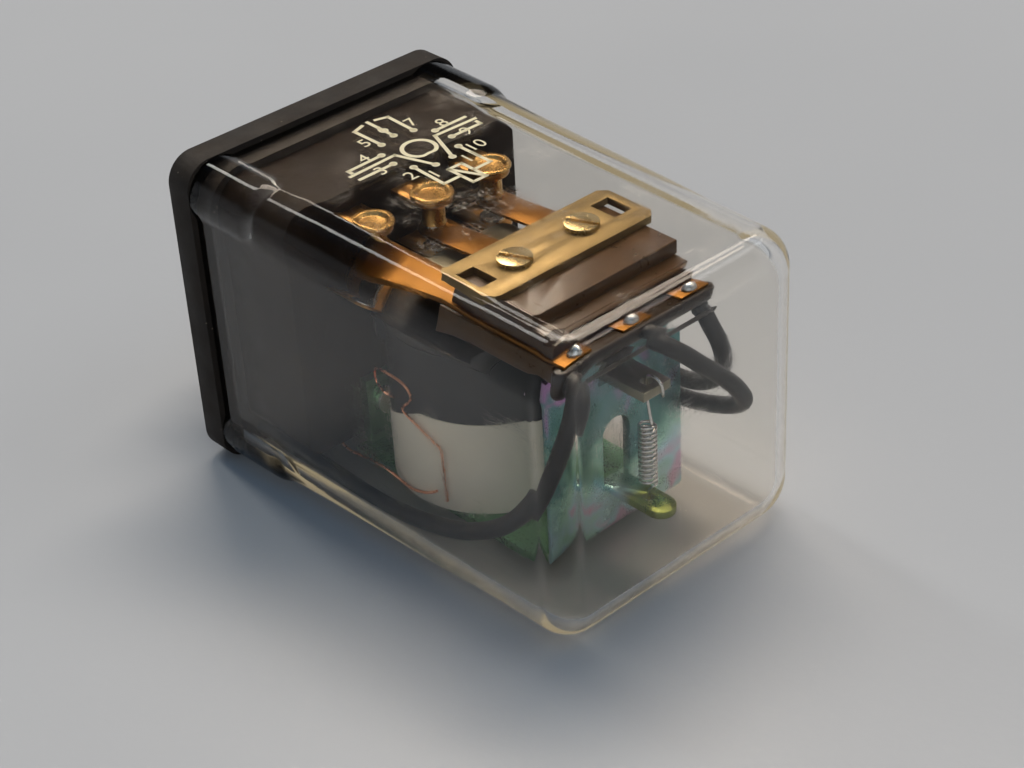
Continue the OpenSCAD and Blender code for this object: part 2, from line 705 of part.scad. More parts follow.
// One wire: a hook through the tab, the helix and a hook through the tongue
function spring_path() = concat(
    [[spring_x + low_hook, 0, tab_z0 - low_hook * 0.23],
        [spring_x + low_hook * 0.73, 0, tab_z0 - low_hook * 0.5],
        [spring_x + low_hook * 0.33, 0, tab_z0 - low_hook * 0.5],
        [spring_x, 0, tab_z0 - low_hook * 0.2], [spring_x, 0, tab_z1],
        [spring_x + 0.1, 0, tab_z1 + low_hook * 0.53],
        [spring_x + spring_r * 0.7, 0, spring_z0 - spring_pitch * 0.6]],
    [for (k = [0:spring_turns * spring_steps]) let (turn = 360 * k / spring_steps)
        [spring_x + spring_r * cos(turn), spring_r * sin(turn), spring_z0 + spring_pitch * turn / 360]],
    [[spring_x + spring_r * 0.7, 0, spring_z1 + spring_pitch * 0.6],
        [spring_x + 0.1, 0, tongue_z0 - high_hook * 0.62], [spring_x, 0, tongue_z0],
        [spring_x, 0, tongue_z1 + high_hook * 0.14],
        [spring_x + high_hook * 0.19, 0, tongue_z1 + high_hook * 0.36],
        [spring_x + high_hook * 0.62, 0, tongue_z1 + high_hook * 0.38],
        [spring_x + high_hook * 0.95, 0, tongue_z1 + high_hook * 0.14],
        [spring_x + high_hook, 0, tongue_z0 + high_hook * 0.1]]);

echo(str("Least gap of the spring to itself, mm: ",
    least_gap(spring_path(), spring_wire, spring_steps - 2)));

module return_spring() {
    color([0.78, 0.78, 0.76]) tube(spring_path(), spring_wire, 6, [0, 1, 0]);
}

// A flat plate with round corners towards the contacts, and a tongue that steps down at the back
module armature() {
    color([0.62, 0.58, 0.36]) difference() {
        union() {
            box([armature_x0 + armature_r, -armature_w / 2, armature_z0],
                [plate_x1, armature_w / 2, armature_z1]);
            box([armature_x0, -armature_w / 2 + armature_r, armature_z0],
                [plate_x1 - 1, armature_w / 2 - armature_r, armature_z1]);
            for (y = [-1, 1]) translate([armature_x0 + armature_r, y * (armature_w / 2 - armature_r),
                armature_z0]) cylinder(h = armature_t, r = armature_r);
            side_profile([[tongue_x0, armature_z0 + armature_t / 2], [tongue_x0, tongue_z0],
                [tongue_x1, tongue_z0], [tongue_x1, tongue_z1], [tongue_x0 + tongue_t, tongue_z1],
                [tongue_x0 + tongue_t, armature_z0 + armature_t / 2]], tongue_w);
        }
        translate([spring_x, 0, tongue_z0 - 1]) cylinder(h = tongue_t + 2, d = hook_hole_d);
        for (y = [-1, 1]) translate([screw_x, y * screw_pitch / 2, armature_z0 - 1])
            cylinder(h = armature_t + 2, d = screw_d + 2 * press_clear);
    }
}

// Thin copper disc that keeps the armature from sticking to the core
module residual_disc() {
    color([0.72, 0.42, 0.28]) coil_rod(armature_z0 - residual_t, armature_z0, residual_d);
}

// A plate of the stack with its two screw holes
module stack_plate(x0, x1, half, z0, z1) {
    difference() {
        box([x0, -half, z0], [x1, half, z1]);
        for (y = [-1, 1]) translate([screw_x, y * screw_pitch / 2, z0 - 1])
            cylinder(h = z1 - z0 + 2, d = screw_d + 2 * press_clear);
    }
}

module lower_insulator() {
    color([0.30, 0.16, 0.07]) stack_plate(blade_root, bar_x0, stack_half, armature_z1,
        lower_ins_z1);
}

// A moving blade: clamped flat, sloping down to a level, rounded tip
module blade(y) {
    flat = contact_x + blade_w / 2 + tip_level;
    color([0.72, 0.40, 0.10]) difference() {
        intersection() {
            side_profile([[tip_x0 - 1, tip_z0], [flat, tip_z0], [blade_root, lower_ins_z1],
                [blade_tail, lower_ins_z1], [blade_tail, blade_z1], [blade_root, blade_z1], [flat, tip_z1],
                [tip_x0 - 1, tip_z1]], blade_w, y);
            union() {
                translate([tip_x0 + blade_w / 2, y, tip_z0 - 1]) cylinder(h = 4, d = blade_w);
                box([tip_x0 + blade_w / 2, y - blade_w, tip_z0 - 1],
                    [blade_tail + 1, y + blade_w, blade_z1 + 1]);
            }
        }
        translate([contact_x, y, tip_z0 - 1]) cylinder(h = 3, d = shank_d - 0.2 + 2 * press_clear);
        for (s = [-1, 1]) translate([screw_x, s * screw_pitch / 2, lower_ins_z1 - 1])
            cylinder(h = blade_t + 2, d = screw_d + 2 * air);
    }
}

module blade_near() {
    blade(poles[0]);
}

module blade_middle() {
    blade(poles[1]);
}

module blade_far() {
    blade(poles[2]);
}

module moving_contacts() {
    color([0.86, 0.86, 0.84]) for (y = poles) translate([contact_x, y, 0]) {
        translate([0, 0, tip_z0 - button_t]) cylinder(h = button_t, d = button_d);
        translate([0, 0, tip_z0]) cylinder(h = blade_t, d = shank_d - 0.2);
        translate([0, 0, tip_z1]) cylinder(h = button_t, d = button_d);
    }
}

module blade_spacer() {
    color([0.26, 0.14, 0.07]) stack_plate(clamp_x0 + 0.4, spacer_x1, stack_half - 0.4, blade_z1, spacer_z1);
}

module upper_insulator() {
    color([0.34, 0.19, 0.08]) stack_plate(clamp_x0 - 0.4, upper_ins_x1, stack_half - 0.2,
        spacer_z1, upper_ins_z1);
}

// Brass-coloured plate with clipped corners, a window at each end and two screws
module clamp_plate() {
    half = clamp_w / 2;
    color([0.55, 0.48, 0.25]) difference() {
        translate([0, 0, upper_ins_z1]) linear_extrude(clamp_t) polygon([
            [clamp_x0 + clamp_clip, -half], [clamp_x1 - clamp_clip, -half],
            [clamp_x1, -half + clamp_clip], [clamp_x1, half - clamp_clip],
            [clamp_x1 - clamp_clip, half], [clamp_x0 + clamp_clip, half],
            [clamp_x0, half - clamp_clip], [clamp_x0, -half + clamp_clip]]);
        for (y = [-1, 1]) {
            translate([screw_x, y * screw_pitch / 2, upper_ins_z1 - 1])
                cylinder(h = clamp_t + 2, d = screw_d + 2 * press_clear);
            translate([screw_x - 0.5, y * (half - window_edge), upper_ins_z1])
                cube([window_len, window_w, 3 * clamp_t], center = true);
        }
    }
}

module clamp_screws() {
    color([0.80, 0.68, 0.36]) for (y = [-1, 1]) translate([screw_x, y * screw_pitch / 2, 0])
        difference() {
            union() {
                translate([0, 0, armature_z0]) cylinder(h = clamp_z1 - armature_z0, d = screw_d);
                translate([0, 0, clamp_z1]) cylinder(h = screw_head_t, d = screw_head_d);
            }
            rotate([0, 0, 25]) translate([0, 0, clamp_z1 + screw_head_t])
                cube([2 * screw_head_d, screw_slot_w, 2 * screw_slot_t], center = true);
        }
}

// Bar with round ends that holds the tails of the blades and the leads
module tail_bar() {
    color([0.20, 0.11, 0.07]) {
        box([bar_x0, -bar_half + bar_end_r, bar_z0], [bar_x1, bar_half - bar_end_r, bar_z1]);
        for (y = [-1, 1]) translate([bar_mid, y * (bar_half - bar_end_r), bar_z0])
            cylinder(h = bar_h, r = bar_end_r);
    }
}

module solder_joints() {
    color([0.62, 0.62, 0.60]) for (y = poles) intersection() {
        translate([blade_tail - solder_back, y, blade_z1]) sphere(d = solder_d);
        box([spacer_x1, y - solder_d, blade_z1], [blade_tail, y + solder_d, blade_z1 + solder_d]);
    }
}

base_plate();
base_pins();
contact_block();
cover();
yoke();
yoke_screws();
core();
bobbin();
winding();
coil_tape();
coil_label();
coil_tags();
coil_wire_upper();
coil_wire_lower();
lower_strip_near();
lower_strip_middle();
lower_strip_far();
lower_contacts();
upper_strip_near();
upper_strip_middle();
upper_strip_far();
upper_contacts();
lead_near();
lead_middle();
lead_far();
return_spring();
armature();
residual_disc();
lower_insulator();
blade_near();
blade_middle();
blade_far();
moving_contacts();
blade_spacer();
upper_insulator();
clamp_plate();
clamp_screws();
tail_bar();
solder_joints();
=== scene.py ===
# %% [markdown]
# # A plug-in relay under its clear cover
# The relay lies on its side on a pale desk. Everything that carries load or moves is already a
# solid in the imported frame, so this lesson dresses it: a clear cover with two skins, plated metal,
# sheathed leads, a printed diagram and the soft light of an office.

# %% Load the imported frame
import json
import math

import bmesh
import bpy
from mathutils import Matrix, Vector


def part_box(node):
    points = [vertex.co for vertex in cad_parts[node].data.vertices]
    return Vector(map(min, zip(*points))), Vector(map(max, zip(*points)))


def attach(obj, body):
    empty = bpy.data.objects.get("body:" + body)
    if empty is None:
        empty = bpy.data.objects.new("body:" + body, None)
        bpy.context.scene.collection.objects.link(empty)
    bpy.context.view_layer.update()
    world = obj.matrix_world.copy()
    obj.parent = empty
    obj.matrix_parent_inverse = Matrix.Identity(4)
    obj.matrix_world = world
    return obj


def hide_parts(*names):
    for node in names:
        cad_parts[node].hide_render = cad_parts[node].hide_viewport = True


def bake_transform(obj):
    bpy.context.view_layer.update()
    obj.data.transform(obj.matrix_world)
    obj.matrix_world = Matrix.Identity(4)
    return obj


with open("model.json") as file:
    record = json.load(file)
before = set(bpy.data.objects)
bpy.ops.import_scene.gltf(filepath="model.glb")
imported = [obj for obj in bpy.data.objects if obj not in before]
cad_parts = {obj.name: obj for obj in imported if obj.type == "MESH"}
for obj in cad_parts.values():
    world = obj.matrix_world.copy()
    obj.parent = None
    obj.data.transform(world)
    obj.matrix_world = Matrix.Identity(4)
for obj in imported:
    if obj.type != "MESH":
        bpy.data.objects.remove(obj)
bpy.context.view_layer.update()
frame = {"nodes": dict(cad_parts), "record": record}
bodies = frame["record"]["behaviour"]["bodies"]
print("bodies:", {name: len(nodes) for name, nodes in bodies.items()})

# %% [markdown]
# ## The camera
# The photograph was taken from above the closed end, a little to the near side. A long lens keeps
# the edges of the case nearly parallel. The camera's place was found by fitting the square base
# plate and the long corners of the cover, so it is written here as plain angles and a distance.

# %% Stand the camera where the photographer stood
MM = 0.001
SENSOR_MM = 36.0
LENS_MM = 79.23
AZIMUTH, ELEVATION, ROLL = (math.radians(a) for a in (48.88, 33.72, -3.41))


def at(x, y, z):
    """A point given in millimetres, as a vector in Blender's metres."""
    return Vector((x, y, z)) * MM


CAMERA_AT = at(171.15, -123.49, 121.12)
back = Vector((math.sin(AZIMUTH) * math.cos(ELEVATION),
               -math.cos(AZIMUTH) * math.cos(ELEVATION), math.sin(ELEVATION)))
right = Vector((0, 0, 1)).cross(back).normalized()
up = back.cross(right)
side = math.cos(ROLL) * right + math.sin(ROLL) * up
top = math.cos(ROLL) * up - math.sin(ROLL) * right

camera_data = bpy.data.cameras.new("camera")
camera_data.lens = LENS_MM
camera_data.sensor_width = SENSOR_MM
camera_data.clip_start = 10 * MM
camera = bpy.data.objects.new("camera", camera_data)
bpy.context.scene.collection.objects.link(camera)
turn = Matrix((side, top, back)).transposed()
camera.matrix_world = Matrix.Translation(CAMERA_AT) @ turn.to_4x4()
bpy.context.scene.camera = camera
print("camera lens", LENS_MM, "mm, distance", round(CAMERA_AT.length, 3), "m")

# %% [markdown]
# ## Sizes read from the frame
# The pieces made here fit the solids, so their sizes come from the solids' boxes. Only the sizes
# that a box can't tell, such as a wall or a corner's radius, are written out.

# %% Measure the solids that the new pieces have to fit
def box_mm(node):
    """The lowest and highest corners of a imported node, in millimetres."""
    lo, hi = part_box(node)
    return Vector(lo) / MM, Vector(hi) / MM


cover_lo, cover_hi = box_mm("cover")
plate_lo, plate_hi = box_mm("base_plate")
bar_lo, bar_hi = box_mm("tail_bar")
coil_lo, coil_hi = box_mm("bobbin")
label_lo, label_hi = box_mm("coil_label")
block_lo, block_hi = box_mm("contact_block")
armature_lo = box_mm("armature")[0]
near_lead_lo = box_mm("lead_near")[0]
print("cover from x =", round(cover_lo.x, 2), "to", round(cover_hi.x, 2), "mm")

# %% [markdown]
# ## A small tool box for meshes
# Most round pieces here are a row of rings joined into a skin, which Blender users call a loft. A
# ring is a list of points, and two neighbouring rings give one belt of four-sided faces.

# %% Join rings of points into a mesh
def add_piece(name, verts, faces, body="root", smooth=True):
    """A new mesh object from points in millimetres. It rides on a body unless that is None."""
    mesh = bpy.data.meshes.new(name)
    mesh.from_pydata([tuple(Vector(v) * MM) for v in verts], [], faces)
    form = bmesh.new()
    form.from_mesh(mesh)
    bmesh.ops.recalc_face_normals(form, faces=form.faces)
    form.to_mesh(mesh)
    form.free()
    for face in mesh.polygons:
        face.use_smooth = smooth
    piece = bpy.data.objects.new(name, mesh)
    bpy.context.scene.collection.objects.link(piece)
    if body:
        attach(piece, body)
    return piece


def belt(first, second, count):
    """The faces between two rings whose points start at these numbers."""
    return [(first + k, first + (k + 1) % count, second + (k + 1) % count, second + k)
            for k in range(count)]


def loft(rings, start_cap=True, shift=0):
    """Points and faces of a skin through a list of equal rings, closed at its far end."""
    count = len(rings[0])
    verts = [p for ring in rings for p in ring]
    faces = [f for i in range(len(rings) - 1)
             for f in belt(shift + i * count, shift + (i + 1) * count, count)]
    if start_cap:
        faces.append(tuple(range(shift, shift + count)))
    faces.append(tuple(range(shift + (len(rings) - 1) * count, shift + len(rings) * count)))
    return verts, faces


print("a belt between two squares has", len(belt(0, 4, 4)), "faces")

# %% [markdown]
# A lead or a spring wire is a loft too: a circle that travels along a path. The circle must not
# spin as it goes, so each ring takes its sideways direction from the ring before it.

# %% Sweep a circle along a path
def spline(points, steps):
    """A smooth path through the points, by the Catmull-Rom rule."""
    path = []
    last = len(points) - 1
    for i in range(last):
        a, b, c, d = (Vector(points[max(0, min(j, last))]) for j in (i - 1, i, i + 1, i + 2))
        for k in range(steps):
            t = k / steps
            path.append(0.5 * (2 * b + (c - a) * t + (2 * a - 5 * b + 4 * c - d) * t * t
                               + (3 * b - a - 3 * c + d) * t ** 3))
    path.append(Vector(points[-1]))
    return path


def tube(path, radius, sides=16, sideways=(0, 0, 1)):
    """The rings of a round tube. Its first sideways direction must not lie along the path."""
    rings, sideways = [], Vector(sideways)
    for i, point in enumerate(path):
        ahead = (path[min(i + 1, len(path) - 1)] - path[max(i - 1, 0)]).normalized()
        sideways = (sideways - sideways.dot(ahead) * ahead).normalized()
        other = ahead.cross(sideways)
        rings.append([point + radius * (math.cos(a) * sideways + math.sin(a) * other)
                      for a in (2 * math.pi * k / sides for k in range(sides))])
    return rings


bend = tube(spline([(0, 0, 0), (5, 0, 0), (8, 3, 0)], 6), 1)
print("a bend through three points has", len(bend), "rings of", len(bend[0]), "points")

# %% [markdown]
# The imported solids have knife-sharp edges, and a real stamping or moulding has none. Each such
# solid gets a copy with its doubled points joined and its edges rounded by a bevel, which is what
# catches the light. The copy stands for the solid, which stays in the physics model.

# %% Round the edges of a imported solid
DOUBLED_M = 2e-6
FLAT_ANGLE = math.radians(0.5)
EDGE_ANGLE = math.radians(35)
EDGE_STEPS = 2


def soften(node, width):
    """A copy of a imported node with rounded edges. The width is in millimetres."""
    form = bmesh.new()
    form.from_mesh(frame["nodes"][node].data)
    bmesh.ops.remove_doubles(form, verts=form.verts, dist=DOUBLED_M)
    bmesh.ops.dissolve_limit(form, angle_limit=FLAT_ANGLE, verts=form.verts, edges=form.edges)
    mesh = bpy.data.meshes.new(node + "_soft")
    form.to_mesh(mesh)
    form.free()
    for face in mesh.polygons:
        face.use_smooth = True
    piece = bpy.data.objects.new(node + "_soft", mesh)
    bpy.context.scene.collection.objects.link(piece)
    bevel = piece.modifiers.new("round_edges", "BEVEL")
    bevel.width = width * MM
    bevel.segments = EDGE_STEPS
    bevel.limit_method = "ANGLE"
    bevel.angle_limit = EDGE_ANGLE
    bevel.harden_normals = True
    body = next(body for body, nodes in bodies.items() if node in nodes)
    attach(piece, body)
    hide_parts(node)
    return piece


print("edges sharper than", round(math.degrees(EDGE_ANGLE)), "degrees will be rounded")

# %% [markdown]
# ## Surface effects as node groups
# Wear, dust and grain show on many of the pieces, so each is a node group with named inputs. A
# group only puts out colours, masks and heights. The shader itself stays in each material. All
# patterns are measured in millimetres, so that a scratch has the same size on every piece.

# %% Helpers that wire up nodes
def new_group(name, inputs, outputs):
    """A shader node group with float inputs (name: start value) and outputs (name: kind)."""
    group = bpy.data.node_groups.new(name, "ShaderNodeTree")
    for label, value in inputs.items():
        socket = group.interface.new_socket(label, in_out="INPUT", socket_type="NodeSocketFloat")
        socket.default_value = value
    for label, kind in outputs.items():
        group.interface.new_socket(label, in_out="OUTPUT", socket_type="NodeSocket" + kind)
    enter = group.nodes.new("NodeGroupInput")
    leave = group.nodes.new("NodeGroupOutput")
    return group, enter.outputs, leave.inputs


def add_node(tree, kind, inputs=None, **settings):
    """A shader node with its settings and its inputs, which are values or other sockets."""
    made = tree.nodes.new("ShaderNode" + kind)
    for label, value in settings.items():
        setattr(made, label, value)
    for label, value in (inputs or {}).items():
        if isinstance(value, bpy.types.NodeSocket):
            tree.links.new(value, made.inputs[label])
        else:
            made.inputs[label].default_value = value
    return made


def calc(tree, operation, *values, **settings):
    """One sum on sockets or numbers."""
    return add_node(tree, "Math", dict(enumerate(values)),
                    operation=operation, **settings).outputs[0]


def remap(tree, value, low, high, to_low=0.0, to_high=1.0):
    """Carries a value from one range to another, and holds it there."""
    return add_node(tree, "MapRange", {"Value": value, "From Min": low, "From Max": high,
                                       "To Min": to_low, "To Max": to_high}).outputs["Result"]


print("a millimetre is", MM, "of Blender's units, so patterns are scaled by", round(1 / MM))

# %% [markdown]
# A pattern needs a place to be measured from. Object coordinates stay with a piece when it moves,
# and don't depend on the camera, so every noise here starts from them.

# %% Helpers for noises and ramps
def mm_space(tree, stretch=(1, 1, 1)):
    """Object coordinates in millimetres, stretched along the axes if asked."""
    where = add_node(tree, "TexCoord")
    return add_node(tree, "Mapping", {"Vector": where.outputs["Object"],
                                      "Scale": [s / MM for s in stretch]}).outputs["Vector"]


def noise(tree, scale, detail, where=None, **more):
    """A cloudy value that swings round a half. The scale is in waves to a millimetre."""
    return add_node(tree, "TexNoise", {"Vector": mm_space(tree) if where is None else where,
                                       "Scale": scale, "Detail": detail, **more}).outputs["Fac"]


def ramp(tree, value, stops):
    """A colour ramp through (place, colour) stops."""
    made = add_node(tree, "ValToRGB", {"Fac": value})
    bar = made.color_ramp
    while len(bar.elements) < len(stops):
        bar.elements.new(0.5)
    for element, (place_at, shade) in zip(bar.elements, stops):
        element.position = place_at
        element.color = (*shade, 1)
    return made.outputs["Color"]


def blend_colors(tree, share, first, second):
    """A mix of two colours, each a socket or three numbers."""
    mix = add_node(tree, "Mix", {"Factor": share}, data_type="RGBA")
    for socket, value in ((mix.inputs[6], first), (mix.inputs[7], second)):
        if isinstance(value, bpy.types.NodeSocket):
            tree.links.new(value, socket)
        else:
            socket.default_value = (*value, 1)
    return mix.outputs[2]


print("node helpers:", [helper.__name__ for helper in (calc, remap, noise, ramp, blend_colors)])

# %% [markdown]
# A scratch is a long, thin line. A noise that is stretched one way crosses its middle value along
# such lines, so the places where it comes close to a half are the scratches. Three noises run in
# three directions, and a broad one picks the patches that were handled most.

# %% Fine scratches
SCRATCH_RUNS = ((0.12, 1.6, 1.6), (1.4, 0.15, 1.4), (0.9, 1.1, 0.13))
SCRATCH_WIDTH = 0.012


def make_scratches():
    group, given, out = new_group("scratches", {"Amount": 0.5, "Fineness": 1.0},
                                  {"Mask": "Float", "Height": "Float"})
    most = None
    for stretch in SCRATCH_RUNS:
        scaled = add_node(group, "VectorMath",
                          {0: mm_space(group, stretch), "Scale": given["Fineness"]},
                          operation="SCALE")
        waves = noise(group, 1.7, 1.5, scaled.outputs[0], Distortion=0.3)
        off = calc(group, "ABSOLUTE", calc(group, "SUBTRACT", waves, 0.5))
        line = remap(group, off, 0.0, SCRATCH_WIDTH, 1.0, 0.0)
        most = line if most is None else calc(group, "MAXIMUM", most, line)
    patches = remap(group, noise(group, 0.22, 2.0), 0.48, 0.68)
    mask = calc(group, "MULTIPLY", calc(group, "MULTIPLY", most, patches), given["Amount"])
    group.links.new(mask, out["Mask"])
    group.links.new(calc(group, "MULTIPLY", mask, -1.0), out["Height"])
    return group


scratches = make_scratches()
print("scratches:", len(scratches.nodes), "nodes")

# %% [markdown]
# Dust is specks and a thin bloom. The specks are the cells of a Voronoi pattern, shrunk by a noise
# until most of them vanish. The bloom is cloudy, and lies mostly on faces that look up.

# %% Dust
def make_dust():
    group, given, out = new_group("dust", {"Specks": 0.5, "Bloom": 0.3}, {"Mask": "Float"})
    cells = add_node(group, "TexVoronoi", {"Vector": mm_space(group), "Scale": 1.6}, feature="F1")
    reach = remap(group, noise(group, 0.5, 1.0), 0.52, 0.75, 0.0, 0.16)
    inside = calc(group, "LESS_THAN", cells.outputs["Distance"], reach)
    specks = calc(group, "MULTIPLY", inside, given["Specks"])
    lift = add_node(group, "SeparateXYZ", {0: add_node(group, "NewGeometry").outputs["Normal"]})
    upward = remap(group, lift.outputs["Z"], -0.2, 1.0, 0.25, 1.0)
    haze = remap(group, noise(group, 0.18, 5.0, Roughness=0.65), 0.42, 0.72)
    bloom = calc(group, "MULTIPLY", calc(group, "MULTIPLY", haze, upward), given["Bloom"])
    group.links.new(calc(group, "ADD", specks, bloom, use_clamp=True), out["Mask"])
    return group


dust = make_dust()
print("dust:", len(dust.nodes), "nodes")

# %% [markdown]
# Moulded and rolled stock has an even, fine grain that makes its gloss uneven. One noise gives the
# grain, and a broad one lets the colour drift.

# %% Grain
def make_grain():
    group, given, out = new_group("grain", {"Size": 0.2, "Low": 0.3, "High": 0.5},
                                  {"Roughness": "Float", "Height": "Float", "Shade": "Float"})
    fine = noise(group, calc(group, "DIVIDE", 1.0, given["Size"]), 4.0, Roughness=0.6)
    broad = noise(group, 0.3, 3.0)
    gloss = remap(group, calc(group, "ADD", fine, broad), 0.7, 1.3, given["Low"], given["High"])
    group.links.new(gloss, out["Roughness"])
    group.links.new(fine, out["Height"])
    group.links.new(broad, out["Shade"])
    return group


grain = make_grain()
print("grain:", len(grain.nodes), "nodes")

# %% [markdown]
# ## Materials
# One helper starts every material: a Principled shader with its plain numbers set on its own
# sockets. Each material then adds the node groups that it needs, with its own values. The packed
# solids bring plain materials of their own, some under the same names, so the ones made here are
# kept in a list, and a piece asks that list for its finish by name.

# %% Start a material
finishes = {}


def new_material(name, **sockets):
    """A material with one Principled shader: the material, its tree, the shader and the output."""
    made = bpy.data.materials.new(name)
    made.use_nodes = True
    tree = made.node_tree
    tree.nodes.clear()
    shader = add_node(tree, "BsdfPrincipled", {key.replace("_", " "): value
                                               for key, value in sockets.items()})
    finish = add_node(tree, "OutputMaterial", {"Surface": shader.outputs["BSDF"]})
    finishes[name] = made
    return made, tree, shader, finish


def place(tree, group, **values):
    """Puts a node group into a material with values of its own, and gives its outputs."""
    made = tree.nodes.new("ShaderNodeGroup")
    made.node_tree = group
    for label, value in values.items():
        made.inputs[label].default_value = value
    return made.outputs


def add_bump(tree, shader, height, distance, strength=1.0):
    """Lets a height, in millimetres at most, tilt the surface."""
    bump = add_node(tree, "Bump", {"Height": height, "Distance": distance * MM,
                                   "Strength": strength})
    tree.links.new(bump.outputs["Normal"], shader.inputs["Normal"])


def dress(piece, finish):
    """Gives a piece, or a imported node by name, one of the finishes all over."""
    target = frame["nodes"][piece] if isinstance(piece, str) else piece
    target.data.materials.clear()
    target.data.materials.append(finishes[finish])
    return target


print("material helpers:", [helper.__name__ for helper in (new_material, place, add_bump, dress)])

# %% [markdown]
# Moulded phenolic is nearly black and goes brown and dusty with age. The same recipe, with other
# numbers, makes the black block, the bobbin, the leads' sleeves and the coil's tape.

# %% Dark mouldings
DUST_TONE = (0.40, 0.32, 0.23)


def moulding(name, dark, worn, rough, specks, bloom, bump=0.02, gloss=0.5):
    """A dark, grained plastic between two tones, with dust on it."""
    _, tree, shader, _ = new_material(name, Specular_IOR_Level=gloss)
    fine = place(tree, grain, Size=0.12, Low=rough[0], High=rough[1])
    film = place(tree, dust, Specks=specks, Bloom=bloom)
    body = blend_colors(tree, fine["Shade"], dark, worn)
    tree.links.new(blend_colors(tree, film["Mask"], body, DUST_TONE), shader.inputs["Base Color"])
    tree.links.new(fine["Roughness"], shader.inputs["Roughness"])
    add_bump(tree, shader, fine["Height"], bump)
    print("moulding:", name)


moulding("aged_phenolic", (0.006, 0.004, 0.003), (0.018, 0.011, 0.006), (0.55, 0.80), 0.4, 0.05,
         gloss=0.3)
moulding("black_moulding", (0.009, 0.005, 0.003), (0.018, 0.010, 0.005), (0.45, 0.7), 0.15, 0.02,
         gloss=0.12)
moulding("bobbin_black", (0.008, 0.007, 0.006), (0.03, 0.022, 0.016), (0.3, 0.5), 0.2, 0.04)
moulding("lead_sleeve", (0.002, 0.002, 0.003), (0.006, 0.006, 0.008), (0.40, 0.58), 0.2, 0.01, 0.01)
moulding("coil_tape_black", (0.004, 0.004, 0.005), (0.010, 0.010, 0.012), (0.4, 0.55), 0.1, 0.01)

# %% [markdown]
# Bare and plated metals differ in colour and in how far the light spreads, so one recipe serves
# them all. Where dust and tarnish lie, the metal shows a third of its colour.

# %% Metals: two tones, the range of roughness, and the tarnish where it isn't the usual
METALS = {
    "yellow_zinc": ((0.30, 0.27, 0.19), (0.22, 0.21, 0.16), (0.28, 0.45)),
    "clamp_brass": ((0.30, 0.215, 0.095), (0.19, 0.135, 0.064), (0.40, 0.60), 0.35),
    "screw_brass": ((0.62, 0.48, 0.24), (0.50, 0.38, 0.19), (0.18, 0.32), 0.1),
    "strip_brass": ((0.56, 0.31, 0.10), (0.40, 0.20, 0.06), (0.24, 0.40)),
    "rivet_copper": ((0.68, 0.42, 0.15), (0.50, 0.28, 0.09), (0.20, 0.36)),
    "blade_bronze": ((0.27, 0.125, 0.028), (0.18, 0.08, 0.018), (0.34, 0.52), 0.2),
    "contact_silver": ((0.86, 0.86, 0.84), (0.70, 0.69, 0.66), (0.15, 0.35)),
    "pin_metal": ((0.78, 0.76, 0.70), (0.66, 0.63, 0.56), (0.18, 0.35)),
    "soft_iron": ((0.55, 0.55, 0.54), (0.42, 0.42, 0.42), (0.30, 0.50)),
    "spring_steel": ((0.80, 0.78, 0.74), (0.62, 0.60, 0.56), (0.14, 0.28), 0.05),
    "coil_copper": ((0.90, 0.44, 0.26), (0.72, 0.30, 0.16), (0.20, 0.35), 0.05),
    "solder": ((0.70, 0.70, 0.68), (0.52, 0.52, 0.50), (0.22, 0.42)),
}
MARK_DEPTH = 0.004


def metal(name, first, second, rough, tarnish=0.25):
    _, tree, shader, _ = new_material(name, Metallic=1.0)
    fine = place(tree, grain, Size=0.25, Low=rough[0], High=rough[1])
    marks = place(tree, scratches, Amount=0.5, Fineness=1.3)
    film = place(tree, dust, Specks=0.15, Bloom=tarnish)
    body = blend_colors(tree, fine["Shade"], first, second)
    dull = tuple(0.35 * c for c in first)
    tree.links.new(blend_colors(tree, film["Mask"], body, dull), shader.inputs["Base Color"])
    tree.links.new(fine["Roughness"], shader.inputs["Roughness"])
    add_bump(tree, shader, marks["Height"], MARK_DEPTH)


for name, values in METALS.items():
    metal(name, *values)
print("metals:", list(METALS))

# %% [markdown]
# The yoke's zinc has a chromate film as thin as a wave of light, so its colour drifts, as on a
# soap bubble. The film ran off while it hung to dry, so height and a slow noise pick its hue on a
# ramp from rose through teal to violet. The ramp also holds painted light: a dark teal band at mid
# height is painted shade, and the lower part is painted lighter. The legs are greener, and the tab
# in front is yellow.

# %% Iridescent chromate film, with painted shade
# Hue stops of the film. The dark teal stops are painted shade, and the pale low stops are painted
# light.
FILM_HUE_AND_SHADE_STOPS = [
    (0.20, (0.62, 0.42, 0.56)), (0.30, (0.46, 0.66, 0.72)), (0.46, (0.36, 0.62, 0.50)),
    (0.66, (0.10, 0.24, 0.21)), (0.84, (0.13, 0.26, 0.28)), (0.97, (0.40, 0.22, 0.44))]
LEG_GREEN = (0.16, 0.34, 0.17)
TAB_YELLOW = (0.27, 0.31, 0.08)
BARE_ZINC = (0.70, 0.70, 0.66)
FILM_FOOT, FILM_HEAD = -14.0, 8.0
LEGS_FROM, LEGS_TO = 42.9, 42.2
TAB_FROM, TAB_TO = 45.5, 47.0


